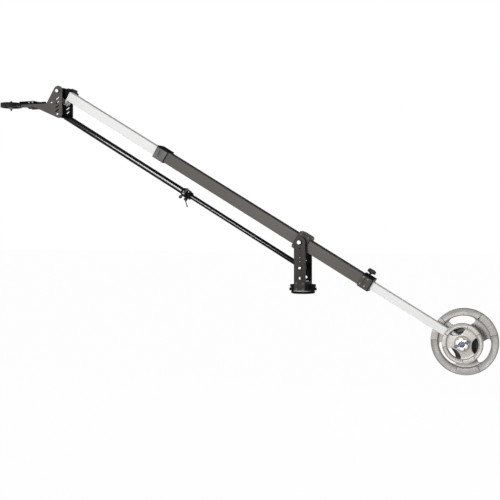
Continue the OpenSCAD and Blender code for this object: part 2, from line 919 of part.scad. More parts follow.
module head_plate() {
    color(plate_grey) difference() {
        head_blank();
        y_plate(head_y - 1, head_t + 2) {
            circle(d = head_axle_d + 2 * seat_gap, $fn = 48);
            translate([0, -link_drop]) circle(d = low_bolt_d + 2 * seat_gap, $fn = 48);
            translate(tie_spot) circle(d = m5[0] + 2 * seat_gap, $fn = 32);
            slant_slots();
        }
        deck_side_spots() flat_screw_hole(m3, deck_screw_len);
    }
}

module head_plate_near() {
    at_head() near_side() head_plate();
}

module head_plate_far() {
    at_head() head_plate();
}

module head_axle() {
    color(bright) at_head() {
        y_rod(head_axle_cap_d, -head_outer_y - head_axle_cap_len, -head_outer_y);
        y_rod(head_axle_d, -head_outer_y - 1, head_outer_y + lock_knob_out + 8);
    }
}

module head_lock_knob() {
    hub_y = head_outer_y + slide_gap;
    disc_y = head_outer_y + lock_knob_out;
    color(black) at_head() difference() {
        union() {
            y_rod(head_axle_d + 12, hub_y, disc_y + 1);
            y_plate(disc_y, lock_knob_t) star_outline(lock_knob_r, 8, 6, lock_knob_r - 4);
        }
        y_rod(head_axle_d + 2 * fit_gap, hub_y - 1, disc_y + 9);
    }
}

module lower_pivot_bolt() {
    color(bright) at_head() translate([0, 0, -link_drop]) {
        y_rod(low_bolt_d + 3, -head_outer_y - 4, -head_outer_y);
        y_rod(low_bolt_d, -head_outer_y - 1, head_outer_y + 3);
    }
}

module spacer_tube(bore, wall, y0, y1) {
    difference() {
        y_rod(bore + 2 * wall, y0, y1);
        y_rod(bore, y0 - 1, y1 + 1);
    }
}

module head_spacers() {
    color(black) at_head() {
        translate([tie_spot.x, 0, tie_spot.y])
            spacer_tube(m5[0] + 2 * seat_gap, 2.5, -head_y, head_y);
        both_sides() translate([0, 0, -link_drop])
            spacer_tube(low_bolt_d + 2 * seat_gap, 3, rod_eye_half + slide_gap, head_y);
    }
}

module head_tie_bolt() {
    color(bright) at_head() translate([tie_spot.x, 0, tie_spot.y]) {
        y_rod(m5[0] + 2, -head_outer_y - 2.5, -head_outer_y);
        y_rod(m5[0], -head_outer_y - 1, head_outer_y + 2);
    }
}

module web_screw_spots() {
    for (x = web_screw_x) {
        translate([-x, head_y + head_t / 2, -arm_top_drop + web_t + web_lug_h]) children();
    }
}

module head_web() {
    color(black) at_head() difference() {
        union() {
            xz_box(-web_x[1], -web_x[0], head_outer_y, -arm_top_drop, -arm_top_drop + web_t);
            both_sides() for (x = web_lug_x) {
                translate([-x[1], head_outer_y - web_lug_w, -arm_top_drop])
                    cube([x[1] - x[0], web_lug_w, web_t + web_lug_h]);
            }
        }
        both_sides() web_screw_spots() flat_screw_hole(m3, web_t + web_lug_h);
    }
}

module head_side_screws() {
    color(black) at_head() both_sides() {
        web_screw_spots() flat_screw(m3, web_t + web_lug_h);
        deck_side_spots() flat_screw(m3, deck_screw_len);
    }
}

// Deck block between the head's arms, and the round camera platform

module deck_top_spots() {
    for (side = [-1, 1]) {
        translate([-deck_top_screw_x, side * deck_top_screw_y, -deck_top_drop]) children();
    }
}

module set_screw_spots() {
    for (x = set_screw_x) {
        translate([-x, head_outer_y, -deck_top_drop - set_screw_drop]) facing_y() children();
    }
}

module deck_block() {
    low = -arm_low_drop + 2;
    color(black) at_head() difference() {
        union() {
            xz_box(-deck_front_x, -deck_rear_x, head_outer_y, -arm_top_drop, -deck_top_drop);
            xz_box(-deck_front_x, -deck_rear_x, head_y - seat_gap, low, -arm_top_drop + 1);
        }
        xz_box(
            -deck_front_x - 1,
            -tongue_rear_x,
            tongue_half + seat_gap,
            low - 1,
            tongue_top + seat_gap
        );
        deck_top_spots() flat_screw_hole(m5, deck_top_screw_len);
        both_sides() deck_side_spots() screw_bore(m3, deck_screw_len);
        both_sides() set_screw_spots() screw_bore(m4, set_screw_len);
    }
}

module deck_screws() {
    color(silver) at_head() {
        deck_top_spots() flat_screw(m5, deck_top_screw_len);
        both_sides() set_screw_spots() cap_screw(m4, set_screw_len);
    }
}

module platform() {
    rim = 5;
    hub_r = 14;
    spoke_w = 4;
    hole_r = 4.5;
    hole_ring_r = 27;
    color(black) at_head() difference() {
        union() {
            translate([-platform_x, 0, platform_low]) {
                difference() {
                    cylinder(r = platform_r, h = platform_h, $fn = 96);
                    translate([0, 0, -1])
                        cylinder(r = platform_r - rim, h = platform_h - platform_top_t + 1, $fn = 96);
                }
                cylinder(r = hub_r, h = platform_h, $fn = 48);
                for (i = [0:5]) {
                    rotate(i * 60) translate([hub_r - 2, -spoke_w / 2, 3])
                        cube([platform_r - rim - hub_r + 4, spoke_w, platform_h - 4]);
                }
            }
            xz_box(
                -platform_x + tongue_root,
                -tongue_rear_x - seat_gap,
                tongue_half,
                platform_low,
                tongue_top
            );
        }
        translate([-platform_x, 0, platform_low]) {
            translate([0, 0, -1])
                cylinder(d = camera_thread_d + 2 * fit_gap, h = platform_h + 2, $fn = 48);
            for (i = [0:5]) {
                rotate(i * 60 + 30) translate([hole_ring_r, 0, 0])
                    cylinder(r = hole_r, h = platform_h + 1, $fn = 32);
            }
        }
        deck_top_spots() screw_bore(m5, deck_top_screw_len);
    }
}

module camera_screw() {
    shank_d = camera_thread_d - 1;
    head_h = 6;
    lug_len = 10;
    lug_d = 5;
    lug_gap = 8;
    color(steel) at_head() translate([-platform_x, 0, platform_low - slide_gap]) {
        cylinder(d = shank_d, h = platform_h + slide_gap + 1, $fn = 48);
        translate([0, 0, platform_h + slide_gap])
            cylinder(d = camera_thread_d, h = camera_thread_len, $fn = 48);
        translate([0, 0, -head_h]) linear_extrude(head_h) star_outline(12, 10, 2, 11);
        for (side = [-1, 1]) {
            translate([side * lug_gap / 2, 0, -head_h - lug_len])
                cylinder(d = lug_d, h = lug_len + 1, $fn = 32);
        }
        translate([-lug_gap / 2, -lug_d / 2, -head_h - lug_len])
            cube([lug_gap, lug_d, lug_d - 1]);
    }
}

// Parallel rod

module rod_inner() {
    color(black) at_rod() difference() {
        x_rod(rod_inner_d, -rod_clamp_at - rod_overlap, -rod_eye_reach);
        x_rod(rod_inner_d - 2 * rod_inner_wall, -rod_clamp_at - rod_overlap - 1, 0);
    }
}

// Eye at the origin with a neck and a spigot that run along +X into a rod of the given bore
module rod_eye(pin_d, clearance, reach, rod_d, bore) {
    spigot_len = 30;
    shoulder_len = 4;
    difference() {
        union() {
            y_rod(rod_eye_d, -rod_eye_half, rod_eye_half);
            xz_box(0, reach - 1, rod_eye_half - 1, -rod_d * 0.3, rod_d * 0.3);
            x_rod(rod_d, reach - shoulder_len, reach);
            x_rod(bore - 2 * seat_gap, reach - 1, reach + spigot_len);
        }
        y_rod(pin_d + 2 * clearance, -rod_eye_d, rod_eye_d);
    }
}

module rod_rear_eye() {
    color(black) at_rod() mirror([1, 0, 0])
        rod_eye(rod_pin_d, fit_gap, rod_eye_reach, rod_inner_d, rod_inner_d - 2 * rod_inner_wall);
}

module rod_front_eye() {
    color(black) at_rod() translate([-front_reach, 0, 0])
        rod_eye(low_bolt_d, 3 * seat_gap, rod_eye_reach, rod_outer_d, rod_outer_bore);
}

module rod_outer() {
    color(black) at_rod() difference() {
        x_rod(rod_outer_d, -front_reach + rod_eye_reach, rod_outer_end);
        x_rod(rod_outer_bore, -front_reach, rod_outer_end + 1);
        translate([wing_u, 0, 0]) y_rod(wing_stem_d + 2, -rod_outer_d, 0);
    }
}

module rod_clamp() {
    nose_len = 12;
    lip_len = 6;
    lip_drop = 5;
    ear_len = 12;
    boss_d = 14;
    color(black) at_rod() difference() {
        union() {
            x_rod(rod_clamp_d, rod_clamp_front + lip_len, rod_clamp_rear - nose_len);
            x_rod(rod_clamp_d - lip_drop, rod_clamp_front, rod_clamp_rear);
            translate([lever_u - ear_len / 2, -2, lever_n - 5])
                cube([ear_len, lever_pin_half + 2, -lever_n - rod_clamp_d / 2 + 9]);
            translate([wing_u, 0, 0]) y_rod(boss_d, -wing_hub_y, -wing_hub_y + 6);
        }
        x_rod(rod_outer_d + 2 * seat_gap, rod_clamp_front - 1, rod_outer_end + seat_gap);
        x_rod(rod_outer_bore, rod_clamp_front - 1, rod_clamp_rear + 1);
        translate([lever_u, 0, lever_n])
            y_rod(lever_pin_d + 2 * fit_gap, -10, lever_pin_half + 1);
        translate([wing_u, 0, 0]) y_rod(wing_stem_d + 2 * fit_gap, -rod_clamp_d, 0);
    }
}

module clamp_wing_knob() {
    hub_d = 15;
    hub_len = 13;
    wing_reach = 20;
    wing_w = 8;
    wing_t = 7;
    lobe_d = 13;
    wing_angle = 44;
    hub_y = -wing_hub_y - slide_gap;
    color(black) at_rod() translate([wing_u, 0, 0]) rotate([0, -arm_angle, 0]) {
        y_rod(wing_stem_d, hub_y - 4, -rod_inner_d / 2 - slide_gap);
        y_rod(hub_d, hub_y - hub_len, hub_y);
        rotate([0, -wing_angle, 0]) y_plate(hub_y - hub_len + 1, wing_t) {
            square([2 * wing_reach, wing_w], center = true);
            for (side = [-1, 1]) {
                translate([side * wing_reach, 0]) circle(d = lobe_d, $fn = 32);
            }
        }
    }
}

module clamp_lever() {
    lever_len = 30;
    lever_d = 4;
    ball_d = 6.5;
    eye_t = 6;
    lean = 20;
    eye_y = -2 - slide_gap;
    color(black) at_rod() translate([lever_u, 0, lever_n]) rotate([0, -arm_angle, 0]) {
        y_rod(lever_pin_d, eye_y - 1, lever_pin_half);
        y_rod(lever_eye_d, eye_y - eye_t, eye_y);
        translate([0, eye_y - eye_t / 2, 0]) rotate([0, 180 - lean, 0]) {
            cylinder(d = lever_d, h = lever_len, $fn = 32);
            translate([0, 0, lever_len]) sphere(d = ball_d, $fn = 32);
        }
    }
}

// Rear section: rear tube, weight bar, weights and star nuts

module rear_tube() {
    color(silver) at_arm() difference() {
        x_tube(rear_size, rear_bore, rear_inner_end, rear_reach + rear_tail);
        translate([rear_reach, 0, 0]) y_rod(bar_d + 2 * seat_gap, -rear_size, rear_size);
    }
}

module rear_tube_plug() {
    color(nylon) at_arm() tube_plug(rear_bore, rear_inner_end, 1);
}

module weight_bar() {
    stub = 8;
    color(steel) at_bar() {
        y_rod(bar_d, -nut_near_y - nut_t - stub, nut_far_y + nut_t + stub);
        both_sides() y_rod(bar_d + 18, rear_size / 2 + seat_gap, bar_seat_y);
    }
}

// Annular sector between two radii, span degrees wide about the direction mid
module ring_sector(r0, r1, mid, span) {
    reach = r1 / cos(span / 2) + 1;
    intersection() {
        difference() {
            circle(r = r1, $fn = 96);
            circle(r = r0, $fn = 96);
        }
        polygon([
            [0, 0],
            reach * [cos(mid - span / 2), sin(mid - span / 2)],
            reach * [cos(mid + span / 2), sin(mid + span / 2)]
        ]);
    }
}

// Three-grip plate weight between y0 and y0 + t, its openings centred on first + 120 i
module weight_plate(r, t, hub_r, web_t, y0, first) {
    grip_span = 56;
    rim_in = r * 0.785;
    grip_in = r * 0.44;
    panel_depth = 1.5;
    difference() {
        union() {
            y_plate(y0 + (t - web_t) / 2, web_t) circle(r = rim_in + 2, $fn = 96);
            y_rod(2 * hub_r, y0, y0 + t);
            translate([0, y0 + t, 0]) rotate([90, 0, 0]) rotate_extrude($fn = 96) {
                translate([rim_in, 2.5]) square([r - rim_in, t - 5]);
                translate([rim_in + 2.5, 0]) square([r - rim_in - 5, t]);
                for (x = [rim_in + 2.5, r - 2.5], y = [2.5, t - 2.5]) {
                    translate([x, y]) circle(r = 2.5, $fn = 24);
                }
            }
        }
        y_rod(bar_d + 2 * fit_gap, y0 - 1, y0 + t + 1);
        for (i = [0:2]) {
            y_plate(y0 - 1, t + 2) ring_sector(grip_in, rim_in, first + i * 120, grip_span);
            y_plate(y0 - 1, panel_depth + 1)
                ring_sector(rim_in + 4, r - 4, first + i * 120, grip_span + 2);
        }
    }
}

module weight_large() {
    color(iron) at_bar() weight_plate(large_r, large_t, 34, large_t * 0.4, weight_y, 96.5);
}

module weight_small() {
    color(iron) at_bar()
        weight_plate(small_r, small_t, 25, small_t * 0.45, -weight_y - small_t, 112);
}

// Star nut from y0 outwards along +Y, with a cross bar through its hub
module star_nut(y0, turn) {
    hub_extra = 7;
    bar_y = y0 + nut_t - 1;
    difference() {
        union() {
            y_plate(y0, nut_t) rotate(turn) star_outline(nut_r, 6, 4.5, nut_r - 8);
            y_rod(nut_r + 4, y0, y0 + nut_t + hub_extra);
        }
        y_rod(bar_d + 2 * fit_gap, y0 - 1, y0 + nut_t + hub_extra + 1);
    }
    for (side = [0, 180]) {
        rotate([0, -turn + side, 0]) translate([0, bar_y, 0])
            x_rod(cross_bar_d, bar_d / 2 + 1.2, cross_bar_len / 2);
    }
}

module star_nut_near() {
    color(bright) at_bar() near_side() star_nut(nut_near_y, 34);
}

module star_nut_far() {
    color(bright) at_bar() star_nut(nut_far_y, 10);
}

base_plate();
pan_bearing();
pan_washer();
pan_bolt();
turntable();
post_plate_near();
post_plate_far();
post_screws();
pivot_bushes();
rod_pivot_pin();
rod_pivot_spacers();
outer_tube();
saddle_plate_near();
saddle_plate_far();
saddle_covers();
saddle_screws();
trunnions();
pivot_caps();
underside_screw();
front_collar();
front_collar_cap();
front_bush();
rear_clamp();
rear_clamp_cap();
rear_bush();
collar_cap_screws();
rear_clamp_screws();
rear_clamp_knob();
front_tube();
front_tube_plug();
head_block();
head_shoe();
head_shoe_screws();
head_plate_near();
head_plate_far();
head_axle();
head_lock_knob();
lower_pivot_bolt();
head_spacers();
head_tie_bolt();
head_web();
head_side_screws();
deck_block();
deck_screws();
platform();
camera_screw();
rod_inner();
rod_rear_eye();
rod_outer();
rod_front_eye();
rod_clamp();
clamp_wing_knob();
clamp_lever();
rear_tube();
rear_tube_plug();
weight_bar();
weight_large();
weight_small();
star_nut_near();
star_nut_far();
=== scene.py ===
"""Camera jib crane: finishes, softened edges, cast weights, knobs, small hardware and studio."""

import json
import math

import bmesh
import bpy
from bpy.props import FloatProperty, FloatVectorProperty, IntProperty, PointerProperty
from mathutils import Matrix, Vector


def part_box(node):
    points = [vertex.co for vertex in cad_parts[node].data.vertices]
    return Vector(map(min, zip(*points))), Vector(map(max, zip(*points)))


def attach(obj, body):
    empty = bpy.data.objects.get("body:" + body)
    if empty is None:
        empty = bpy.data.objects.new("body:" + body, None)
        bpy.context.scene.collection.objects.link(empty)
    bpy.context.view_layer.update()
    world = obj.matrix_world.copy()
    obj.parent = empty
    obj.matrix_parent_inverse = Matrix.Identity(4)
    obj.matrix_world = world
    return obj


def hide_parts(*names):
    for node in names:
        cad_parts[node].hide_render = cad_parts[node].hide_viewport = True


bl_info = {
    "name": "Camera Jib Crane",
    "version": (1, 0, 0),
    "blender": (4, 5, 0),
    "location": "3D View > Sidebar > Jib Crane",
    "description": "Dresses a telescoping camera jib crane with finishes, details and a studio",
    "category": "Object",
}

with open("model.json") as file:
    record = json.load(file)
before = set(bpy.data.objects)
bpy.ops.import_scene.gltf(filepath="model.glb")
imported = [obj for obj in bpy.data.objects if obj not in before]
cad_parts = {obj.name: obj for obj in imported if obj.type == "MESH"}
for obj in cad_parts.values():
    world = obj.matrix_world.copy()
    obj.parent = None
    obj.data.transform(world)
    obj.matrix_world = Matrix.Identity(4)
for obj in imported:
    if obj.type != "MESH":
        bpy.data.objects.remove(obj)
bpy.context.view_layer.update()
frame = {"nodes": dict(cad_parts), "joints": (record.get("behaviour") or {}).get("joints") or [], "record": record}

MM = 0.001
NODES = frame["nodes"]
RECORD = frame["record"]
BODY_OF = {
    node: body for body, members in RECORD["behaviour"]["bodies"].items() for node in members
}
SLOT_OF = {row["node"]: row["material_slot"] for row in RECORD["subparts"]}
JOINTS = {joint["name"]: joint for joint in frame["joints"]}
PIVOT, ROD_PIVOT, HEAD_PIVOT, BAR_CENTRE, CLAMP_KNOB_SEAT, SCREW_SEAT, WING_KNOB_SEAT = (
    Vector(JOINTS[name]["pos_m"])
    for name in (
        "arm_tilt", "rod_tilt", "head_tilt", "weight_large_turn", "rear_clamp_turn",
        "camera_screw_turn", "wing_knob_turn",
    )
)
REARWARD = Vector(JOINTS["front_slide"]["axis"])
ARM_ANGLE = math.atan2(-REARWARD.z, REARWARD.x)
ON_ARM, ON_ROD = (
    Matrix.Translation(seat) @ Matrix.Rotation(ARM_ANGLE, 4, "Y") for seat in (PIVOT, ROD_PIVOT)
)
UPRIGHT = Matrix.Rotation(math.radians(90), 4, "X")
TO_METRES = Matrix.Scale(MM, 4)

# Plate weights, in mm: bore, depth of the rim's panels and their distance from the rim's inner
# and outer edge, web left between grips and rim, and how far a cutter stands out of its cut
BORE_R = 10.05
RECESS = 1.7
PANEL_IN, PANEL_OUT = 3.2, 3.4
RIM_LIP = 0.6
AIR = 2
# Where the grips begin and the rim begins, as a share of the radius
GRIP_SHARE = 0.44
RIM_SHARE = 0.785
GRIP_COUNT = 3
# Hub radius, web thickness and radius of the painted shadow in mm, angles in degrees of the
# first grip and of one rim panel, share of the cast edge's width, and finish
WEIGHTS = {
    "weight_large": {
        "hub": 34, "web": 10.4, "shaded": 66, "first": 96.5, "panel": 76, "edge": 1,
        "finish": "grey_iron",
    },
    "weight_small": {
        "hub": 25, "web": 9.9, "shaded": 0, "first": 112, "panel": 80, "edge": 0.7,
        "finish": "small_iron",
    },
}
# A face counts as an outer one when it lies no deeper than this below the piece's side, and
# looks across the crane at least this squarely; the others are marked inside for painted shade
SUNK = {"front_collar": 0.6 * MM, "rear_clamp": 0.6 * MM}
SQUARE = {"bright_steel": 0.98}
ANY_DEPTH, ROUGHLY_SQUARE = 1.0, 0.8
# Where the shadowed end edge of a collar begins, from its rear end
END_EDGE = 3 * MM
FINISHES = {}
OWN_FINISH = {
    "platform": "platform_black", "saddle_covers": "cover_grey",
    "front_bush": "black_plastic", "rear_bush": "black_plastic",
    "rear_clamp_screws": "dull_steel", "weight_bar": "dull_steel",
    "pivot_bushes": "black_steel", "rod_inner": "gloss_black",
}
# Nodes that keep their shape but for softened edges, after the width, a factor and the segments
EDGED = (
    ("plate_edge", 1.0, 2, "post_plate_near", "post_plate_far", "saddle_plate_near",
     "saddle_plate_far", "head_web"),
    ("block_edge", 1.0, 2, "base_plate", "turntable", "saddle_covers", "front_collar",
     "front_collar_cap", "rear_clamp", "rear_clamp_cap", "head_block", "head_shoe",
     "deck_block", "rod_clamp", "rod_front_eye", "rod_rear_eye", "platform"),
    ("cast_edge", 1.0, 2, "head_plate_near", "head_plate_far", "head_axle"),
    ("cast_edge", 1.8, 3, "pivot_caps"),
    ("block_edge", 1.0, 2, "weight_bar"),
    ("small_edge", 1.0, 2, "outer_tube", "front_tube", "rear_tube", "lower_pivot_bolt",
     "head_tie_bolt", "rod_pivot_pin", "clamp_lever", "rod_pivot_spacers", "head_spacers",
     "rod_outer", "rod_inner"),
    ("cast_edge", 1.0, 3, "clamp_wing_knob"),
)
# The strip lamp lights only what is in this collection
RODS = bpy.data.collections.new("Rods")
STAGE_MIDDLE = Vector((-0.3, 0.0, 0.3))
WHITE = (1, 1, 1, 1)


def display(red, green, blue):
    """Linear colour of a display colour given in 0 to 255."""
    return tuple(
        c / 12.92 if c <= 0.04045 else ((c + 0.055) / 1.055) ** 2.4
        for c in (red / 255, green / 255, blue / 255)
    )


def arm_points(node):
    """A node's points in the arm's own frame."""
    back = ON_ARM.inverted()
    return [back @ v.co for v in NODES[node].data.vertices]


def across_at(point):
    """The line across the crane through a point, as a placing of the Y axis."""
    return Matrix.Translation((point.x, 0, point.z))


def weight_form(node):
    """A weight's radius and thickness in mm, and its middle on the bar."""
    low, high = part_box(node)
    middle = Vector((BAR_CENTRE.x, (low.y + high.y) / 2, BAR_CENTRE.z))
    return (high.x - low.x) / 2 / MM, (high.y - low.y) / MM, middle


def panel_radii(radius):
    """Inner and outer radius of the recessed panels in a weight's rim, in mm."""
    return radius * RIM_SHARE + PANEL_IN, radius - PANEL_OUT


def tint(shown, name, what):
    return FloatVectorProperty(
        name=name, description=what, subtype="COLOR", size=3, min=0, max=1,
        default=display(*shown),
    )


def number(default, name, what, **kind):
    return FloatProperty(name=name, description=what, default=default, **kind)


def length(default_mm, name, what):
    return number(default_mm * MM, name, what, subtype="DISTANCE", unit="LENGTH")


def degrees(default, name, what):
    return number(math.radians(default), name, what, subtype="ANGLE")


class JibFinishes(bpy.types.PropertyGroup):
    """Colours of the crane's finishes"""

    tube: tint((106, 102, 98), "Outer tube", "Satin anodised outer tube")
    plate: tint((95, 90, 87), "Plates", "Satin anodised plates of post, saddle and head")
    black: tint((12, 11, 11), "Black anodised", "Base, caps, deck and rod fittings")
    gloss: tint((11, 11, 12), "Gloss black", "Front and rear rods")
    silver: tint((253, 253, 252), "Silver tubes", "Clear anodised sliding tubes")
    collar: tint((110, 110, 108), "Front collar", "Brushed collar at the arm's front")
    clamp: tint((83, 79, 74), "Rear clamp", "Dark collar at the arm's rear")
    shoe: tint((165, 165, 163), "Shoe", "Bare machined shoe under the head")
    iron: tint((157, 154, 150), "Cast weights", "Grey enamel on the cast weights")
    steel: tint((176, 178, 182), "Machined steel", "Washers, bar and silver screws")
    bright: tint((250, 250, 250), "Bright ends", "Polished ends of the axles")
    dull: tint((120, 118, 116), "Dull screws", "Flat screws in the rear clamp's sides")
    blued: tint((92, 108, 130), "Cross bars", "Blued steel bars of the star nuts")
    plastic: tint((22, 22, 22), "Moulded plastic", "Knobs, lever and bushes")
    nylon: tint((222, 219, 210), "Nylon", "Pan bearing and glide plugs")


class JibDetails(bpy.types.PropertyGroup):
    """Sizes of the crane's small details"""

    plate_edge: length(0.7, "Plate edge", "Rounding of the plates' edges")
    block_edge: length(0.9, "Block edge", "Rounding of the blocks' and collars' edges")
    cast_edge: length(1.4, "Cast edge", "Rounding of the cast weights' edges")
    small_edge: length(0.5, "Small edge", "Rounding of pins, rods and tube corners")
    grip_span: degrees(66, "Grip span", "Angle that each grip opening of a weight spans")
    ridge_count: IntProperty(
        name="Ridges", description="Ridges round the camera screw's head", default=30, min=8
    )
    thread_pitch: length(1.5875, "Thread pitch", "Pitch of the camera thread")


class JibStudio(bpy.types.PropertyGroup):
    """Camera, lamps and floor"""

    camera_turn: degrees(20.4, "Camera turn", "Angle of the view from straight ahead")
    camera_height: length(273.5, "Camera height", "Height of the lens above the base")
    camera_back: length(3475.9, "Camera distance", "Distance of the lens from the pan axis")
    camera_side: length(-204.9, "Camera side shift", "Shift of the lens across the view")
    lens: number(
        64.8, "Lens", "Focal length on a 36 mm sensor", subtype="DISTANCE_CAMERA", unit="CAMERA"
    )
    horizon_shift: number(-0.0553, "Horizon shift", "Vertical shift of the frame")
    key_power: number(336.0, "Key light", "Power of the key lamp")
    strip_power: number(2300.0, "Strip light", "Power of the lamp that only the rods catch")
    side_power: number(7.0, "Side lights", "Power of each side lamp")
    back_power: number(60.0, "Back light", "Power of the back lamp")
    sky_level: number(0.25, "Sky", "Level of the even light")
    floor_drop: length(1250, "Floor drop", "Height of the base above the floor")


# Shader building


def plug(tree, place, value):
    """Sets or links one socket."""
    value = value.socket if isinstance(value, Wire) else value
    if isinstance(value, bpy.types.NodeSocket):
        tree.links.new(value, place)
    else:
        place.default_value = value


def add_node(tree, kind, values=None, **settings):
    """A new node: its settings are made first, then its sockets are set or linked."""
    node = tree.nodes.new(kind)
    for key, value in settings.items():
        setattr(node, key, value)
    for key, value in (values or {}).items():
        plug(tree, node.inputs[key], value)
    return node


class Wire:
    """A node's output that takes part in sums."""

    def __init__(self, tree, socket):
        self.tree = tree
        self.socket = socket

    def math(self, operation, other=0.0, flipped=False):
        first, second = (other, self) if flipped else (self, other)
        node = add_node(self.tree, "ShaderNodeMath", {0: first, 1: second}, operation=operation)
        return Wire(self.tree, node.outputs[0])

    def __add__(self, other):
        return self.math("ADD", other)

    __radd__ = __add__

    def __sub__(self, other):
        return self.math("SUBTRACT", other)

    def __rsub__(self, other):
        return self.math("SUBTRACT", other, flipped=True)

    def __mul__(self, other):
        return self.math("MULTIPLY", other)

    __rmul__ = __mul__


class Finish:
    """A material with one principled shader, painted in tones of one colour."""

    def __init__(self, name, color, metallic=0.0, specular=0.5):
        self.material = bpy.data.materials.new(name)
        self.material.use_nodes = True
        self.tree = self.material.node_tree
        self.tree.nodes.clear()
        values = {"Metallic": metallic, "Specular IOR Level": specular}
        self.shader = self.node("ShaderNodeBsdfPrincipled", values)
        self.out = self.node("ShaderNodeOutputMaterial", {"Surface": self.shader.outputs[0]})
        self.color = self.tone = tuple(color)

    def node(self, kind, values=None, **settings):
        return add_node(self.tree, kind, values, **settings)

    def wire(self, kind, values=None, output=0, **settings):
        """One output of a new node, ready for sums."""
        return Wire(self.tree, self.node(kind, values, **settings).outputs[output])

    def place(self, turn=0.0, centre=(0, 0, 0), stretch=(1, 1, 1)):
        """Object coordinates about a centre, turned about Y and stretched."""
        seat = self.node("ShaderNodeTexCoord").outputs["Object"]
        values = {"Vector": seat, "Location": centre, "Rotation": (0, turn, 0)}
        seat = self.node("ShaderNodeMapping", values, vector_type="TEXTURE").outputs[0]
        values = {0: seat, 1: stretch}
        return self.node("ShaderNodeVectorMath", values, operation="MULTIPLY").outputs[0]

    def noise(self, place, scale, detail=2.0, rough=0.5):
        values = {"Vector": place, "Scale": scale, "Detail": detail, "Roughness": rough}
        return self.wire("ShaderNodeTexNoise", values)

    def cells(self, place, scale):
        values = {"Vector": place, "Scale": scale, "Smoothness": 0.6}
        return self.wire("ShaderNodeTexVoronoi", values, "Distance", feature="SMOOTH_F1")

    def band(self, value, low, high):
        """0 below low, 1 above high, smooth between."""
        values = {"Value": value, "From Min": low, "From Max": high}
        return self.wire("ShaderNodeMapRange", values, interpolation_type="SMOOTHSTEP")

    def line(self, distance, width):
        """1 on a line, 0 beyond its width to either side."""
        return 1 - self.band(distance.math("ABSOLUTE"), width * 0.6, width)

    def axis(self, place, letter):
        """One coordinate of a place."""
        return self.wire("ShaderNodeSeparateXYZ", {"Vector": place}, letter)

    def mark(self, name):
        """A mark of the mesh's own faces, from 0 to 1."""
        return self.wire("ShaderNodeAttribute", output="Fac", attribute_name=name)

    def blend(self, share, low, high):
        node = self.node("ShaderNodeMix", data_type="RGBA")
        ins = {s.identifier: s for s in node.inputs}
        for key, value in (("Factor_Float", share), ("A_Color", low), ("B_Color", high)):
            plug(self.tree, ins[key], (*value, 1) if isinstance(value, tuple) else value)
        return next(s for s in node.outputs if s.identifier == "Result_Color")

    def vary(self, share, low, high):
        """Starts the tone between two levels of the colour."""
        self.tone = self.blend(share, scaled(self.color, low), scaled(self.color, high))

    def over(self, share, level):
        """Lays another level of the colour over the tone."""
        self.tone = self.blend(share, self.tone, scaled(self.color, level))

    def dark_end(self, start):
        """Blackens what lies behind a station of the arm, as a shadowed end edge."""
        if start is not None:
            along = self.axis(self.place(ARM_ANGLE, PIVOT), "X")
            behind = self.band(along, start, start + 0.4 * MM)
            self.tone = self.blend(behind, self.tone, display(12, 12, 12))

    def shade_insides(self, level):
        """Paints the faces marked as inside at a level of their own: painted shade below 1, lighter above."""
        if level != 1.0:
            self.over(self.mark("inside"), level)

    def done(self, roughness, height=None, strength=0.0, depth=0.0):
        """The material, once its tone, roughness and relief are in."""
        values = {"Base Color": self.tone, "Roughness": roughness}
        if height is not None:
            bump = {"Strength": strength, "Distance": depth, "Height": height}
            values["Normal"] = self.node("ShaderNodeBump", bump).outputs[0]
        for key, value in values.items():
            plug(self.tree, self.shader.inputs[key], value)
        return self.material


def scaled(color, factor):
    return tuple(min(1.0, c * factor) for c in color)


def anodised(
    name, color, roughness=0.5, turn=0.0, grain=(1, 1, 1), painted_foot_shade=1.0, dark_from=None,
    inside_tone=1.0, specular=0.12,
):
    """Blasted and anodised aluminium: fine grain, faint patches and lightly worn edges, lightened
    further as a painted highlight, with painted shade toward the foot and on inside faces.
    """
    finish = Finish(name, color, specular=specular)
    fine = finish.noise(finish.place(turn, PIVOT, grain), 1400.0)
    finish.vary(finish.noise(finish.place(turn, PIVOT, (22, 22, 22)), 1.0, 3.0), 0.94, 1.06)
    # Painted shade: darker towards the foot of the crane, where less light falls
    if painted_foot_shade != 1.0:
        finish.over(1 - finish.band(finish.axis(finish.place(), "Z"), 0.02, 0.5), painted_foot_shade)
    finish.dark_end(dark_from)
    # Lighter edges in noise patches: worn edges, and partly a painted highlight along them
    rubbed = finish.mark("edge") * finish.band(finish.noise(finish.place(), 240.0), 0.35, 0.7)
    bare = scaled([c + 0.05 for c in color], 1.2)
    finish.tone = finish.blend(rubbed * 0.5, finish.tone, bare)
    finish.shade_insides(inside_tone)
    return finish.done(fine * 0.1 + (roughness - 0.05), fine, 0.12, 0.0001)


def drawn(
    name, color, roughness, metallic=0.0, turn=ARM_ANGLE, relief=0.15, dark_from=None,
    inside_tone=1.0, depth=1.0, specular=0.5,
):
    """Drawn or brushed metal with fine lines along the arm."""
    finish = Finish(name, color, metallic, specular)
    lines = finish.noise(finish.place(turn, PIVOT, (14, 1100, 1100)), 1.0, 3.0, 0.6)
    smears = finish.noise(finish.place(turn, PIVOT, (3, 34, 34)), 1.0)
    finish.vary(lines * 0.6 + smears * 0.4, 1 - 0.07 * depth, 1 + 0.05 * depth)
    # Painted shadow on a collar's end edge, and painted shade on faces marked inside
    finish.dark_end(dark_from)
    finish.shade_insides(inside_tone)
    rough = lines * roughness * 0.3 + smears * 0.04 + roughness * 0.8
    return finish.done(rough, lines if relief else None, relief, 0.00006)


def polished_black(name, color, roughness, specular):
    """Polished black tube with faint lengthwise smears."""
    finish = Finish(name, color, specular=specular)
    smears = finish.noise(finish.place(ARM_ANGLE, PIVOT, (3, 60, 60)), 1.0)
    finish.vary(smears, 0.8, 1.2)
    return finish.done(smears * 0.03 + (roughness - 0.015))


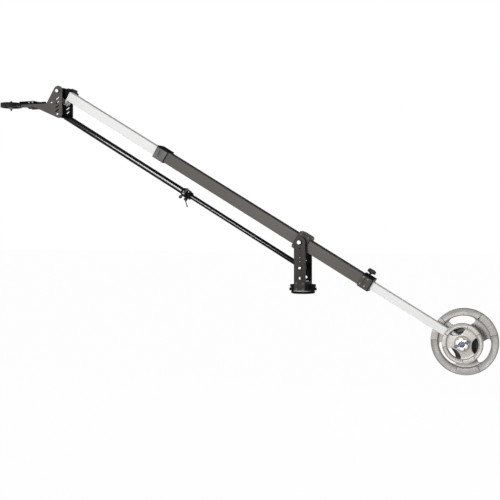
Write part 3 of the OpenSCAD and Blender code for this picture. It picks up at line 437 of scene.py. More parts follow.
def enamelled_iron(name, color, node):
    """Cast iron under hammered grey enamel, with painted shade in the seams of the rim's panels."""
    form = WEIGHTS[node]
    radius, _, middle = weight_form(node)
    finish = Finish(name, color, 0.2)
    seat = finish.place(centre=BAR_CENTRE)
    dimples = finish.cells(seat, 330.0)
    finish.vary(dimples, 1.08, 0.84)
    finish.over(finish.noise(seat, 14.0) * 0.3, 0.86)
    rubbed = finish.mark("edge") * finish.band(finish.noise(seat, 160.0), 0.4, 0.75)
    finish.over(rubbed * 0.5, 1.3)
    x, z = finish.axis(seat, "X"), finish.axis(seat, "Z")
    away = (x * x + z * z).math("SQRT")
    turn = z.math("ARCTAN2", x) - math.radians(form["first"])
    off = turn.math("PINGPONG", math.pi / GRIP_COUNT)
    half_panel = math.radians(form["panel"]) / 2
    on_panel = off.math("LESS_THAN", half_panel + 0.01)
    # Painted shade along the seams of the rim's panels, in patches
    seams = finish.line((off - half_panel) * away, 1.1 * MM)
    rim, soft = radius * RIM_SHARE * MM, radius * 0.005 * MM
    seams = seams * finish.band(away, rim - soft, rim + soft)
    for reach in panel_radii(radius):
        seams = seams + finish.line(away - reach * MM, 0.7 * MM) * on_panel * 0.8
    finish.over(seams * finish.band(finish.noise(seat, 70.0), 0.05, 0.4), 0.1)
    # Painted shadow on the large weight's face behind the small one, within the shaded radius
    if form["shaded"]:
        shaded_r = form["shaded"] * MM
        front = middle.y - BAR_CENTRE.y
        painted_shadow = 1 - finish.band(away, shaded_r * 0.9, shaded_r)
        painted_shadow = painted_shadow * (1 - finish.band(finish.axis(seat, "Y"), front, front + 1 * MM))
        finish.over(painted_shadow, 0.04)
    relief = dimples * 0.7 + finish.noise(seat, 95.0, 3.0) * 0.5
    return finish.done(dimples * 0.2 + 0.34, relief, 0.3, 0.0008)


def turned_steel(name, color, roughness, metallic, painted_rim_shade=1.0):
    """Turned or ground steel with fine rings, light handling marks and painted shade on inside faces."""
    finish = Finish(name, color, metallic)
    fine = finish.noise(finish.place(stretch=(300, 2400, 300)), 1.0)
    marks = finish.band(finish.noise(finish.place(), 130.0, 4.0, 0.7), 0.5, 0.75)
    finish.over(marks * 0.5, 0.78)
    finish.shade_insides(painted_rim_shade)
    return finish.done(fine * 0.12 + marks * 0.12 + (roughness - 0.06), fine, 0.15, 0.00006)


def moulded(name, color, roughness):
    """Moulded plastic with a fine leathery grain and rubbed high spots."""
    finish = Finish(name, color, specular=0.32)
    grain = finish.noise(finish.place(), 1700.0, 2.0, 0.6)
    finish.vary(finish.noise(finish.place(), 60.0), 0.85, 1.2)
    return finish.done(grain * 0.2 + (roughness - 0.1), grain, 0.3, 0.0002)


def make_finishes(colors):
    """Every finish of the crane, by the record's material slot or a name of its own."""
    collar_end, clamp_end = (
        max(p.x for p in arm_points(node)) - END_EDGE for node in ("front_collar", "rear_clamp")
    )
    # Inside levels below 1 paint shade on inner, recessed and side faces; above 1 a lighter underside
    FINISHES.update({
        "black_anodised": anodised("Black anodised", colors.black, specular=0.05),
        "platform_black": anodised(
            "Platform black", scaled(colors.black, 5.0), inside_tone=14.0, specular=0.08
        ),
        "gloss_black": polished_black("Gloss black rod", colors.gloss, 0.25, 0.07),
        "grey_plate": anodised(
            "Grey anodised plate", colors.plate, painted_foot_shade=0.3, inside_tone=0.12
        ),
        "cover_grey": anodised("Bracket cover", scaled(colors.plate, 1.9)),
        "grey_tube": anodised(
            "Satin outer tube", colors.tube, 0.46, ARM_ANGLE, (0.02, 0.7, 0.7), inside_tone=0.3
        ),
        "silver_tube": drawn(
            "Clear anodised tube", colors.silver, 0.5, relief=0.0, depth=0.4, specular=0.15
        ),
        "collar_grey": drawn(
            "Brushed collar", colors.collar, 0.46, 0.1, ARM_ANGLE + math.radians(90),
            dark_from=collar_end, inside_tone=0.12, specular=0.15,
        ),
        "clamp_grey": anodised(
            "Dark clamp", colors.clamp, dark_from=clamp_end, inside_tone=0.12
        ),
        "shoe_metal": drawn("Machined shoe", colors.shoe, 0.4, 0.45),
        "black_steel": turned_steel("Blackened steel", colors.plastic, 0.42, 0.3),
        "steel": turned_steel("Machined steel", colors.steel, 0.34, 0.8),
        "bright_steel": turned_steel("Polished steel", colors.bright, 0.3, 0.3, 0.06),
        "chrome": turned_steel("Chromed casting", colors.bright, 0.3, 0.35),
        "bronze": turned_steel("Oiled bronze", display(120, 92, 52), 0.4, 0.8),
        "black_plastic": moulded("Black moulding", colors.plastic, 0.46),
        "nylon": moulded("Off-white nylon", colors.nylon, 0.5),
        "grey_iron": enamelled_iron("Large weight enamel", colors.iron, "weight_large"),
        # Painted light: the small weight has the large one's enamel, painted 1.4 times lighter
        "small_iron": enamelled_iron(
            "Small weight enamel", scaled(colors.iron, 1.4), "weight_small"
        ),
        "dull_steel": turned_steel("Dull screw", colors.dull, 0.45, 0.3),
        "blued_steel": turned_steel("Blued cross bar", colors.blued, 0.36, 0.35),
    })


# Mesh building


def in_scene(name, data):
    obj = bpy.data.objects.new(name, data)
    bpy.context.scene.collection.objects.link(obj)
    return obj


def mesh_object(name, verts, faces=(), edges=()):
    mesh = bpy.data.meshes.new(name)
    mesh.from_pydata([tuple(v) for v in verts], edges, faces)
    mesh.validate()
    return in_scene(name, mesh)


def outward(mesh):
    """Merges doubles and points every face outwards."""
    bm = bmesh.new()
    bm.from_mesh(mesh)
    bmesh.ops.remove_doubles(bm, verts=bm.verts, dist=1e-6)
    bmesh.ops.recalc_face_normals(bm, faces=bm.faces)
    bm.to_mesh(mesh)
    bm.free()


def settle(obj):
    """Applies the modifiers and leaves a plain mesh."""
    bpy.context.view_layer.update()
    graph = bpy.context.evaluated_depsgraph_get()
    mesh = bpy.data.meshes.new_from_object(obj.evaluated_get(graph))
    obj.modifiers.clear()
    old = obj.data
    obj.data = mesh
    bpy.data.meshes.remove(old)
    return obj


def smooth(obj, angle=35):
    obj.data.shade_smooth()
    obj.data.set_sharp_from_angle(angle=math.radians(angle))


def mark_faces(mesh, name, marks):
    """Stores a mark from 0 to 1 on each face, for the finishes to read."""
    mesh.attributes.new(name, "FLOAT", "FACE").data.foreach_set("value", marks)


def round_edges(obj, width, segments, angle=33):
    """Rounds the edges in a second material, then turns that into the edge mark."""
    mesh = obj.data
    mesh.materials.clear()
    for _ in range(2):
        mesh.materials.append(FINISHES["steel"])
    bevel = obj.modifiers.new("Edges", "BEVEL")
    bevel.limit_method = "ANGLE"
    bevel.angle_limit = math.radians(angle)
    bevel.width = width
    bevel.segments = segments
    bevel.material = 1
    mesh = settle(obj).data
    mark_faces(mesh, "edge", [float(p.material_index == 1) for p in mesh.polygons])
    mesh.polygons.foreach_set("material_index", [0] * len(mesh.polygons))


def mark_insides(mesh, sunk, level):
    """Marks every face that isn't an outer one, as inside, where most finishes paint shade."""
    reach = max(abs(p.center.y) for p in mesh.polygons)
    marks = []
    for p in mesh.polygons:
        outwards = p.normal.y * (1 if p.center.y > 0 else -1) > level
        marks.append(0.0 if outwards and reach - abs(p.center.y) < sunk else 1.0)
    mark_faces(mesh, "inside", marks)


def dress(obj, carrier, slot, finish, *stands_for):
    """Gives a finished piece its finish, its body and the nodes it stands for."""
    obj.data.materials.clear()
    obj.data.materials.append(FINISHES[finish])
    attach(obj, BODY_OF[carrier])
    if stands_for:
        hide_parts(*stands_for)
    return obj


def fit(carrier, place, *pieces, angle=42):
    """Places and dresses pieces drawn in mm; each comes with its slot, finish and nodes."""
    for piece, slot, finish, *stands_for in pieces:
        piece.data.transform(place @ TO_METRES)
        outward(piece.data)
        smooth(piece, angle)
        dress(piece, carrier, slot, finish, *stands_for)


def soften(node, width, segments):
    """A copy of a node's own shape with its edges rounded."""
    slot = SLOT_OF[node]
    bm = bmesh.new()
    bm.from_mesh(NODES[node].data)
    bmesh.ops.remove_doubles(bm, verts=bm.verts, dist=3e-6)
    bmesh.ops.dissolve_limit(bm, angle_limit=math.radians(0.6), verts=bm.verts, edges=bm.edges)
    mesh = bpy.data.meshes.new(node + "_edged")
    bm.to_mesh(mesh)
    bm.free()
    obj = in_scene(node + "_edged", mesh)
    round_edges(obj, width, segments)
    mark_insides(obj.data, SUNK.get(node, ANY_DEPTH), SQUARE.get(slot, ROUGHLY_SQUARE))
    smooth(obj)
    return dress(obj, node, slot, OWN_FINISH.get(node, slot), node)


def lofted(name, rings, closed=False):
    """Skins rings of equal count; a closed loft joins its last ring to its first."""
    count = len(rings[0])
    verts = [point for ring in rings for point in ring]
    faces = []
    for k in range(len(rings) if closed else len(rings) - 1):
        a, b = k * count, ((k + 1) % len(rings)) * count
        for i in range(count):
            j = (i + 1) % count
            faces.append((a + i, a + j, b + j, b + i))
    if not closed:
        faces.append(tuple(range(count)))
        faces.append(tuple(range((len(rings) - 1) * count, len(rings) * count)))
    obj = mesh_object(name, verts, faces)
    outward(obj.data)
    return obj


def skinned(name, stations, closed=False, count=144):
    """Skins (radius, y) or (outline, inset, y) stations round the Y axis."""
    turns = [math.tau * i / count for i in range(count)]
    rings = []
    for *outline, y in stations:
        if len(outline) == 1:
            radii = outline * count
        else:
            radii = [outline[0](turn) - outline[1] for turn in turns]
        rings.append([(r * math.cos(a), y, r * math.sin(a)) for r, a in zip(radii, turns)])
    return lofted(name, rings, closed)


def fillet(points, radii, steps=4):
    """Rounds the corners of a profile of (radius, y) points."""
    made = []
    last = len(points)
    for i, (point, radius) in enumerate(zip(points, radii)):
        here = Vector(point)
        back = (Vector(points[i - 1]) - here).normalized()
        ahead = (Vector(points[(i + 1) % last]) - here).normalized()
        for step in range(steps + 1):
            t = step / steps
            a, b = here + back * radius, here + ahead * radius
            made.append(a.lerp(here, t).lerp(here.lerp(b, t), t))
    return made


def lobed(radius, count, lobe_r, core_r, turn=0.0, soft=1.5):
    """Outline of round lobes on a round core, with the corners between them filled."""
    reach = radius - lobe_r
    pitch = math.tau / count

    def outline(angle):
        off = (angle - turn + pitch / 2) % pitch - pitch / 2
        aside = reach * math.sin(off)
        lobe = 0.0
        if abs(aside) < lobe_r:
            lobe = reach * math.cos(off) + math.sqrt(lobe_r**2 - aside**2)
        share = min(1.0, max(0.0, 0.5 + (lobe - core_r) / (2 * soft)))
        return core_r + (lobe - core_r) * share + soft * share * (1 - share)

    return outline


# Geometry node trees


class Growth:
    """A geometry node tree with named inputs."""

    def __init__(self, name, **inputs):
        self.tree = bpy.data.node_groups.new(name, "GeometryNodeTree")
        face = self.tree.interface
        for label, kind in {"Geometry": "Geometry", **inputs}.items():
            face.new_socket(label, in_out="INPUT", socket_type="NodeSocket" + kind)
        face.new_socket("Geometry", in_out="OUTPUT", socket_type="NodeSocketGeometry")
        self.given = add_node(self.tree, "NodeGroupInput").outputs

    def node(self, kind, values=None, output=0, **settings):
        """One output of a new node."""
        return add_node(self.tree, kind, values, **settings).outputs[output]

    def piece(self):
        """The shape of the object given as Piece."""
        values = {"Object": self.given["Piece"]}
        return self.node("GeometryNodeObjectInfo", values, "Geometry", transform_space="ORIGINAL")

    def swept(self, path, sides, radius):
        """A round section swept along a path."""
        section = self.node(
            "GeometryNodeCurvePrimitiveCircle", {"Resolution": sides, "Radius": radius}
        )
        values = {"Curve": path, "Profile Curve": section, "Fill Caps": True}
        return self.node("GeometryNodeCurveToMesh", values)

    def finish(self, geometry):
        real = self.node("GeometryNodeRealizeInstances", {"Geometry": geometry})
        values = {"Geometry": real, "Material": FINISHES["steel"]}
        done = self.node("GeometryNodeSetMaterial", values)
        add_node(self.tree, "NodeGroupOutput", {0: done})
        return self

    def grow(self, obj, **values):
        """Runs the tree on an object and keeps the result as its plain mesh."""
        sockets = {
            item.name: item.identifier
            for item in self.tree.interface.items_tree
            if item.in_out == "INPUT"
        }
        modifier = obj.modifiers.new("Growth", "NODES")
        modifier.node_group = self.tree
        for label, value in values.items():
            modifier[sockets[label]] = value
        return settle(obj)


def ring_tree(name, cut=False):
    """Sets a piece round the Y axis at even turns, or cuts it out of the mesh there."""
    tree = Growth(name, Piece="Object", Count="Int", Phase="Float")
    count = tree.given["Count"]
    index = Wire(tree.tree, tree.node("GeometryNodeInputIndex"))
    turn = index.math("DIVIDE", count) * math.tau + tree.given["Phase"]
    shape = tree.node("GeometryNodeInstanceOnPoints", {
        "Points": tree.node("GeometryNodePoints", {"Count": count}),
        "Instance": tree.piece(),
        "Rotation": tree.node("ShaderNodeCombineXYZ", {"Y": turn}),
    })
    if cut:
        solid = tree.node("GeometryNodeRealizeInstances", {"Geometry": shape})
        values = {"Mesh 1": tree.given["Geometry"], "Mesh 2": solid}
        shape = tree.node(
            "GeometryNodeMeshBoolean", values, operation="DIFFERENCE", solver="EXACT"
        )
    return tree.finish(shape)


def spots_tree():
    """Sets a small piece on each point of a mesh."""
    tree = Growth("Spots", Piece="Object")
    points = tree.node("GeometryNodeMeshToPoints", {"Mesh": tree.given["Geometry"]})
    values = {"Points": points, "Instance": tree.piece()}
    return tree.finish(tree.node("GeometryNodeInstanceOnPoints", values))


def wire_tree():
    """Sweeps a round section along the mesh's line."""
    tree = Growth("Wire", Radius="Float")
    path = tree.node("GeometryNodeMeshToCurve", {"Mesh": tree.given["Geometry"]})
    return tree.finish(tree.swept(path, 24, tree.given["Radius"]))


def thread_tree():
    """Winds a thread's ridge in a helix up the Z axis."""
    tree = Growth("Thread", Turns="Float", Radius="Float", Length="Float", Ridge="Float")
    helix = tree.node("GeometryNodeCurveSpiral", {
        "Resolution": 40,
        "Rotations": tree.given["Turns"],
        "Start Radius": tree.given["Radius"],
        "End Radius": tree.given["Radius"],
        "Height": tree.given["Length"],
    })
    return tree.finish(tree.swept(helix, 6, tree.given["Ridge"]))


def wound_thread(name, foot, length_mm, pitch, radius, ridge):
    """A thread's ridge that winds up the Z axis from its foot, in mm."""
    thread = mesh_object(name, [(0, 0, 0)])
    thread_tree().grow(
        thread, Turns=length_mm / pitch, Radius=radius, Length=length_mm, Ridge=ridge
    )
    thread.data.transform(Matrix.Translation((0, 0, foot)))
    return thread


# Pieces


def weight_blank(name, radius, thick, hub_r, web_t):
    """Round casting with a raised rim, a dished web and a raised hub."""
    rim_in = radius * RIM_SHARE
    half, web = thick / 2, web_t / 2
    front = [
        (BORE_R, half), (hub_r, half), (hub_r + 3.5, web + 1.6), (rim_in - 6, web + 0.4),
        (rim_in - 1.2, web + 1.2), (rim_in + 0.8, half), (radius, half),
    ]
    radii = [0.8, 1.8, 2.2, 3.0, 1.6, 1.6, 2.6]
    back = [(r, -y) for r, y in reversed(front)]
    points = [(r * MM, y * MM) for r, y in front + back]
    profile = fillet(points, [v * MM for v in radii + radii[::-1]])
    return skinned(name, profile, closed=True, count=160)


def prism(name, outline, low, high):
    """Prism along Y, in metres, from a loop of (radius, angle) points and its ends in mm."""
    return lofted(name, [
        [Vector((r * math.cos(a), y, r * math.sin(a))) * MM for r, a in outline]
        for y in (low, high)
    ])


def grip_outline(r_in, r_out, span, steps=48):
    """A grip opening: an arc outside and a bulge inside that meet in round tips."""
    half, wide, tip = span / 2, r_out - r_in, 0.16
    loop = []
    for k in range(steps + 1):
        share = 2 * k / steps - 1
        loop.append((r_out - tip * wide * abs(share) ** 9, half * share))
    for k in range(1, steps):
        share = 1 - 2 * k / steps
        reach = tip + (1 - tip) * (1 - abs(share) ** 2.6) ** 0.62
        loop.append((r_out - wide * reach, half * share))
    return loop


def panel_outline(r_in, r_out, span, steps=36):
    """A panel of the rim between two radii."""
    turns = [span * (k / steps - 0.5) for k in range(steps + 1)]
    return [(r_out, a) for a in turns] + [(r_in, a) for a in reversed(turns)]


class JIB_OT_weights(bpy.types.Operator):
    """Cast plate weights with grip openings and bare rim panels"""

    bl_idname = "jib.weights"
    bl_label = "Cast weights"

    def execute(self, context):
        details = context.scene.jib_details
        for node, form in WEIGHTS.items():
            radius, thick, middle = weight_form(node)
            weight = weight_blank(node + "_cast", radius, thick, form["hub"], form["web"])
            grip = grip_outline(
                radius * GRIP_SHARE, radius * RIM_SHARE - RIM_LIP, details.grip_span
            )
            panel = panel_outline(*panel_radii(radius), math.radians(form["panel"]))
            front, turn = -thick / 2, -math.radians(form["first"])
            through, recess = (front - AIR, AIR - front), (front - RECESS, front + RECESS)
            tree = ring_tree("Openings", cut=True)
            for outline, (low, high) in ((grip, through), (panel, recess)):
                cutter = prism("cutter", outline, low, high)
                tree.grow(weight, Piece=cutter, Count=GRIP_COUNT, Phase=turn)
                bpy.data.objects.remove(cutter)
            round_edges(weight, details.cast_edge * form["edge"], 3, 40)
            weight.data.transform(Matrix.Translation(middle))
            smooth(weight, 50)
            dress(weight, node, "grey_iron", form["finish"], node)
        return {"FINISHED"}


class JIB_OT_star_nuts(bpy.types.Operator):
    """Chromed star nuts, each with a sleeve and a bar across its front"""

    bl_idname = "jib.star_nuts"
    bl_label = "Star nuts"

    def execute(self, context):
        nuts = (("star_nut_near", -1, 34, 23), ("star_nut_far", 1, 10, 10))
        for node, side, turn, bar_turn in nuts:
            low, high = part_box(node)
            seat = low.y if side > 0 else -high.y
            flip = Matrix.Scale(side, 4, (0, 1, 0))
            place = across_at(BAR_CENTRE) @ flip @ Matrix.Translation((0, seat, 0))
            star = lobed(24, 6, 8, 14.5, math.radians(turn), 2.0)
            nut = skinned(node + "_lobes", [
                (star, 1.5, 0.2), (star, 0.4, 0.6), (star, 0, 1.8), (star, 0, 9.5),
                (star, 0.4, 12.0), (star, 1.2, 13.1), (star, 2.4, 13.8), (11.9, 14.0),
                (11.6, 13.7), (11.6, 0.2),
            ], closed=True, count=240)
            sleeve = skinned(node + "_sleeve", [
                (11.5, 0.0), (11.5, 15.2), (11.2, 15.8), (10.8, 16.0), (10.3, 15.8),
                (BORE_R, 15.4), (BORE_R, 0.6), (10.6, 0.0),
            ], closed=True)
            fit(
                node, place, (nut, "chrome", "chrome", node), (sleeve, "steel", "dull_steel"),
                (self.cross_bar(node + "_bar", bar_turn), "black_steel", "blued_steel"), angle=40,
            )
        return {"FINISHED"}

    def cross_bar(self, name, turn):
        """Round bar across the sleeve's front."""
        stand = 17.5
        half = [(2.4, 27.2), (3.4, 27.2), (4.1, 26.6), (4.4, 25.6)]
        bar = skinned(name, half + [(r, -y) for r, y in reversed(half)], count=40)
        bar.data.transform(
            Matrix.Translation((0, stand, 0)) @ Matrix.Rotation(math.radians(-turn), 4, "Y")
            @ Matrix.Rotation(math.radians(-90), 4, "Z")
        )
        return bar


class JIB_OT_knobs(bpy.types.Operator):
    """Moulded star knobs of the rear clamp and the head lock"""

    bl_idname = "jib.knobs"
    bl_label = "Star knobs"

    def execute(self, context):
        self.rear_clamp_knob("rear_clamp_knob")
        self.head_lock_knob("head_lock_knob")
        return {"FINISHED"}

    def rear_clamp_knob(self, node):
        """Knob with a collar and a threaded stem, drawn from the stem's tip to the knob's top."""
        heights = [p.z / MM for p in arm_points(node)]
        tip, top = min(heights), max(heights)
        low = top - 13
        place = ON_ARM @ Matrix.Translation(((ON_ARM.inverted() @ CLAMP_KNOB_SEAT).x, 0, 0))
        star = lobed(17, 5, 5, 11.5)
        head = skinned(node + "_head", [
            (9, low), (star, 2.2, low), (star, 0.7, low + 0.7), (star, 0, low + 2.2),
            (star, 0, top - 3), (star, 0.8, top - 1.1), (star, 2.6, top), (6.6, top - 0.3),
            (5.6, top - 1.6),
        ])
        stem = skinned(node + "_stem", [
            (3.0, tip), (3.7, tip + 0.8), (3.7, low - 3.2), (6.0, low - 3.2), (6.5, low - 2.7),
            (6.5, low + 0.5),
        ], count=64)
        thread = wound_thread(node + "_thread", tip, low - 4 - tip, 1.25, 3.65, 0.42)
        fit(
            node, place @ UPRIGHT, (head, "black_plastic", "black_plastic", node),
            (stem, "black_steel", "black_steel"),
        )
        fit(node, place, (thread, "black_steel", "black_steel"))

    def head_lock_knob(self, node):
        low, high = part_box(node)
        near, far = low.y / MM, high.y / MM
        disc = far - 20
        star = lobed(25, 8, 6, 20.5)
        knob = skinned(node + "_moulded", [
            (8.7, disc + 8), (8.7, near + 0.6), (9.3, near), (13.6, near), (14.5, near + 0.9),
            (14.5, disc - 4), (15.6, disc - 1.4), (17.5, disc), (star, 2.6, disc),
            (star, 0.8, disc + 0.8), (star, 0, disc + 2.8), (star, 0, far - 3.4),
            (star, 1.0, far - 1.1), (star, 3.0, far), (13, far), (12, far - 1.8), (5, far - 1.4),
        ], count=192)
        fit(node, across_at(HEAD_PIVOT), (knob, "black_plastic", "black_plastic", node))


class JIB_OT_camera_screw(bpy.types.Operator):
    """Camera screw with a ridged head, a thread and a wire handle"""

    bl_idname = "jib.camera_screw"
    bl_label = "Camera screw"

    def execute(self, context):
        details = context.scene.jib_details
        node = "camera_screw"
        low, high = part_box(node)
        foot, top = low.z / MM, high.z / MM
        head_low, head_top, thread_low = foot + 10, foot + 16, top - 10
        body = skinned(node + "_body", [
            (9.6, head_low), (10.8, head_low + 0.5), (11.1, head_low + 1.2),
            (11.1, head_top - 0.8), (10.4, head_top), (4.3, head_top), (4.3, thread_low),
            (4.1, thread_low + 0.2), (4.1, top - 1.2), (3.2, top),
        ], count=96)
        body.data.transform(UPRIGHT)
        ridge = skinned("ridge", [
            (0.3, head_low + 0.7), (0.55, head_low + 1.2), (0.55, head_top - 1.0),
            (0.3, head_top - 0.5),
        ], count=8)
        ridge.data.transform(Matrix.Translation((11.2, 0, 0)))
        ridges = mesh_object(node + "_ridges", [(0, 0, 0)])
        ring_tree("Ridges").grow(ridges, Piece=ridge, Count=details.ridge_count, Phase=0.0)
        ridges.data.transform(UPRIGHT)
        bpy.data.objects.remove(ridge)
        thread = wound_thread(
            node + "_thread", thread_low + 0.5, top - thread_low - 1.4,
            details.thread_pitch / MM, 4.2, 0.52,
        )
        fit(
            node, Matrix.Translation((SCREW_SEAT.x, SCREW_SEAT.y, 0)),
            (body, "steel", "dull_steel", node), (ridges, "steel", "dull_steel"),
            (thread, "steel", "dull_steel"),
            (self.wire_handle(node + "_handle", head_low + 1, foot + 6.5), "steel", "black_steel"),
        )
        return {"FINISHED"}

    def wire_handle(self, name, top, bend):
        """Wire bow that hangs from the head, straight down to its bend."""
        half, drop, steps = 4.6, 4.4, 12
        turns = [math.pi * k / steps for k in range(steps + 1)]
        bow = [(-half * math.cos(t), 0, bend - drop * math.sin(t)) for t in turns]
        bow = [(-half, 0, top), (-half, 0, bend), *bow, (half, 0, bend), (half, 0, top)]
        handle = mesh_object(name, bow, edges=[(i, i + 1) for i in range(len(bow) - 1)])
        wire_tree().grow(handle, Radius=1.9)
        handle.data.transform(Matrix.Rotation(math.radians(102), 4, "Z"))
        return handle


class JIB_OT_clamp_screws(bpy.types.Operator):
    """Small silver screws on the rod clamp and in its wing knob"""

    bl_idname = "jib.clamp_screws"
    bl_label = "Rod clamp screws"

    def execute(self, context):
        head = skinned("screw", [
            (2.2, 3.0), (2.2, 0.2), (2.55, 0.0), (2.8, -0.5), (2.8, -1.5), (2.4, -2.0),
            (1.4, -2.0), (1.2, -0.8),
        ], count=32)
        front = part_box("clamp_wing_knob")[0].y / MM
        on_clamp = [(-574.5, -13.0, 13.0), (-561.5, -13.0, 13.0), (-581.5, -17.4, 3.5)]
        in_wing = [(0, front + 1.0, 0)]
        for name, carrier, place, spots in (
            ("rod_clamp_screws", "rod_clamp", ON_ROD, on_clamp),
            ("wing_knob_screw", "clamp_wing_knob", across_at(WING_KNOB_SEAT), in_wing),
        ):
            piece = mesh_object(name, spots)
            spots_tree().grow(piece, Piece=head)
            fit(carrier, place, (piece, "steel", "steel"))
        bpy.data.objects.remove(head)
        return {"FINISHED"}


class JIB_OT_edges(bpy.types.Operator):
    """Plates, blocks and collars with softened edges"""

    bl_idname = "jib.edges"
    bl_label = "Softened edges"

    def execute(self, context):
        details = context.scene.jib_details
        made = {
            node: soften(node, getattr(details, width) * factor, segments)
            for width, factor, segments, *nodes in EDGED
            for node in nodes
        }
        # The platform's inside mark is its underside instead, which its finish paints lighter
        platform = made["platform"].data
        below = [float(p.normal.z < -0.5) for p in platform.polygons]
        platform.attributes["inside"].data.foreach_set("value", below)
        self.end_behind_cross_bars(made["weight_bar"].data)
        for node in ("rod_outer", "rod_inner"):
            RODS.objects.link(made[node])
        return {"FINISHED"}

    def end_behind_cross_bars(self, mesh):
        """Ends the weight bar inside the star nuts' sleeves."""
        low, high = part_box("weight_bar")
        inside, end_edge = 12.8 * MM, 2 * MM
        near_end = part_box("star_nut_near")[1].y - inside
        far_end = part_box("star_nut_far")[0].y + inside
        for vertex in mesh.vertices:
            if vertex.co.y < low.y + end_edge:
                vertex.co.y += near_end - low.y
            elif vertex.co.y > high.y - end_edge:
                vertex.co.y += far_end - high.y


class JIB_OT_finishes(bpy.types.Operator):
    """Finishes on every piece that keeps its own shape"""

    bl_idname = "jib.finishes"
    bl_label = "Finishes"

    def execute(self, context):
        make_finishes(context.scene.jib_finishes)
        for name, obj in NODES.items():
            finish = FINISHES[OWN_FINISH.get(name, SLOT_OF[name])]
            if not obj.material_slots:
                obj.data.materials.append(finish)
            for place in obj.material_slots:
                place.material = finish
        return {"FINISHED"}


# Studio


def soft_box(name, place, size, power):
    lamp = bpy.data.lights.new(name, "AREA")
    lamp.shape = "RECTANGLE"
    lamp.size, lamp.size_y = size
    lamp.energy = power
    obj = in_scene(name, lamp)
    obj.location = place
    obj.rotation_euler = (STAGE_MIDDLE - Vector(place)).to_track_quat("-Z", "Y").to_euler()
    return obj


def card(name, half_x, half_y, place):
    """A flat card, moved to its place."""
    corners = ((-half_x, -half_y), (half_x, -half_y), (half_x, half_y), (-half_x, half_y))
    return mesh_object(name, [place @ Vector((x, y, 0)) for x, y in corners], [(0, 1, 2, 3)])


def rays(tree, *kinds):
    """1 for rays of the given kinds."""
    paths = add_node(tree, "ShaderNodeLightPath").outputs
    first, *others = (Wire(tree, paths[f"Is {kind} Ray"]) for kind in kinds)
    return sum(others, first)


def mixed(tree, share, first, second):
    values = {0: share, 1: first.outputs[0], 2: second.outputs[0]}
    return add_node(tree, "ShaderNodeMixShader", values)


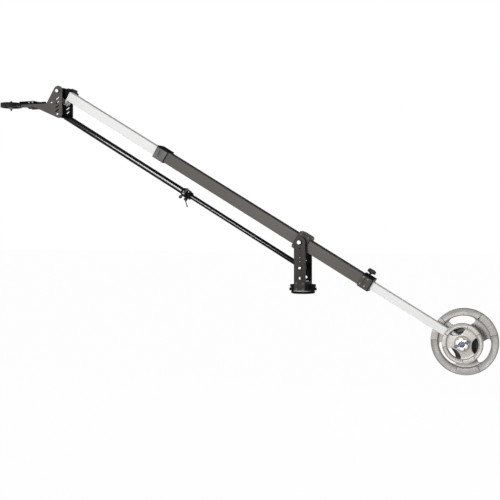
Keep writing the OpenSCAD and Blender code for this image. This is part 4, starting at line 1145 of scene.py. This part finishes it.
class JIB_OT_studio(bpy.types.Operator):
    """Camera, lamps, white backdrop and pale floor"""

    bl_idname = "jib.studio"
    bl_label = "Studio"

    def execute(self, context):
        studio = context.scene.jib_studio
        self.make_camera(context.scene, studio)
        soft_box("Key", (-1.2, -7.5, 0.5), (1.8, 1.5), studio.key_power)
        strip = soft_box("Strip", (-1.9, -4.2, 1.0), (3.8, 1.0), studio.strip_power)
        facing = (strip.location - STAGE_MIDDLE).normalized()
        along = (REARWARD - facing * REARWARD.dot(facing)).normalized()
        turn = Matrix((along, facing.cross(along), facing)).transposed()
        strip.rotation_euler = turn.to_euler()
        strip.light_linking.receiver_collection = RODS
        strip.visible_diffuse = False
        soft_box("Left side", (-4.5, -0.6, 0.8), (2.0, 1.6), studio.side_power)
        soft_box("Right side", (4.5, 0.4, 0.8), (2.0, 1.6), studio.side_power)
        back = soft_box("Back", (-0.3, 4.6, 1.0), (2.4, 1.6), studio.back_power)
        back.visible_glossy = False
        self.make_sky(context.scene, studio.sky_level)
        self.make_floor(studio.floor_drop)
        self.make_flag()
        return {"FINISHED"}

    def make_camera(self, scene, studio):
        lens = bpy.data.cameras.new("Camera")
        lens.sensor_width = 36.0
        lens.lens = studio.lens
        lens.shift_y = studio.horizon_shift
        lens.clip_start, lens.clip_end = 0.05, 60.0
        camera = in_scene("Camera", lens)
        stand = Vector((studio.camera_side, -studio.camera_back, studio.camera_height))
        camera.location = Matrix.Rotation(studio.camera_turn, 3, "Z") @ stand
        camera.rotation_euler = (math.radians(90), 0, studio.camera_turn)
        scene.camera = camera
        scene.view_settings.view_transform = "Standard"

    def make_sky(self, scene, level):
        """Even light, white wherever the camera sees it."""
        scene.world = bpy.data.worlds.new("Studio")
        scene.world.use_nodes = True
        tree = scene.world.node_tree
        tree.nodes.clear()
        sky, white = (
            add_node(tree, "ShaderNodeBackground", {"Color": WHITE, "Strength": strength})
            for strength in (level, 1.0)
        )
        mix = mixed(tree, rays(tree, "Camera", "Glossy", "Transmission"), sky, white)
        add_node(tree, "ShaderNodeOutputWorld", {"Surface": mix.outputs[0]})

    def make_floor(self, drop):
        """Pale floor that is white to the camera but for a faint shadow, and clear from below."""
        floor = card("Floor", 40.0, 40.0, Matrix.Translation((0, 0, -drop)))
        paint = Finish("Pale floor", display(246, 246, 245))
        patches = paint.noise(paint.place(), 0.8, 3.0)
        paint.tone = paint.blend(patches, display(240, 240, 239), paint.color)
        tree = paint.tree
        seen = rays(tree, "Camera", "Glossy", "Transmission")
        white = paint.node("ShaderNodeEmission", {"Color": WHITE})
        lit = mixed(tree, seen * 0.98, paint.shader, white)
        below = paint.wire("ShaderNodeNewGeometry", output="Backfacing")
        clear = paint.node("ShaderNodeBsdfTransparent")
        mix = mixed(tree, below + rays(tree, "Diffuse"), lit, clear)
        plug(tree, paint.out.inputs["Surface"], mix.outputs[0])
        floor.data.materials.append(paint.done(0.9))

    def make_flag(self):
        """Dark card behind the crane, which only its reflections see."""
        facing = Vector((-0.25, 0.9, 0.36)).normalized()
        turn = facing.to_track_quat("Z", "Y").to_matrix().to_4x4()
        distance = 3.4
        place = Matrix.Translation(STAGE_MIDDLE + facing * distance) @ turn
        flag = card("Flag", 2.6, 1.6, place)
        cloth = Finish("Black flag", display(28, 28, 28), specular=0.0)
        cloth.tone = cloth.blend(cloth.noise(cloth.place(), 9.0), display(20, 20, 20), cloth.color)
        flag.data.materials.append(cloth.done(0.9))
        flag.visible_camera = False
        flag.visible_shadow = False
        flag.visible_diffuse = False


class JIB_PT_panel(bpy.types.Panel):
    """Steps that dress the jib crane"""

    bl_label = "Camera jib crane"
    bl_idname = "JIB_PT_panel"
    bl_space_type = "VIEW_3D"
    bl_region_type = "UI"
    bl_category = "Jib Crane"

    def draw(self, context):
        for step in STEPS:
            self.layout.operator(step.bl_idname)
        for group in GROUPS:
            box = self.layout.box()
            settings = getattr(context.scene, group)
            for key in settings.bl_rna.properties.keys():
                if key not in ("rna_type", "name"):
                    box.prop(settings, key)


STEPS = (
    JIB_OT_studio, JIB_OT_finishes, JIB_OT_edges, JIB_OT_weights, JIB_OT_star_nuts,
    JIB_OT_knobs, JIB_OT_camera_screw, JIB_OT_clamp_screws,
)
GROUPS = {"jib_finishes": JibFinishes, "jib_details": JibDetails, "jib_studio": JibStudio}
CLASSES = (*GROUPS.values(), *STEPS, JIB_PT_panel)


def register():
    for cls in CLASSES:
        bpy.utils.register_class(cls)
    for name, group in GROUPS.items():
        setattr(bpy.types.Scene, name, PointerProperty(type=group))


def unregister():
    for name in GROUPS:
        delattr(bpy.types.Scene, name)
    for cls in reversed(CLASSES):
        bpy.utils.unregister_class(cls)


def main():
    register()
    for step in STEPS:
        group, name = step.bl_idname.split(".")
        getattr(getattr(bpy.ops, group), name)()


if __name__ == "__main__":
    main()
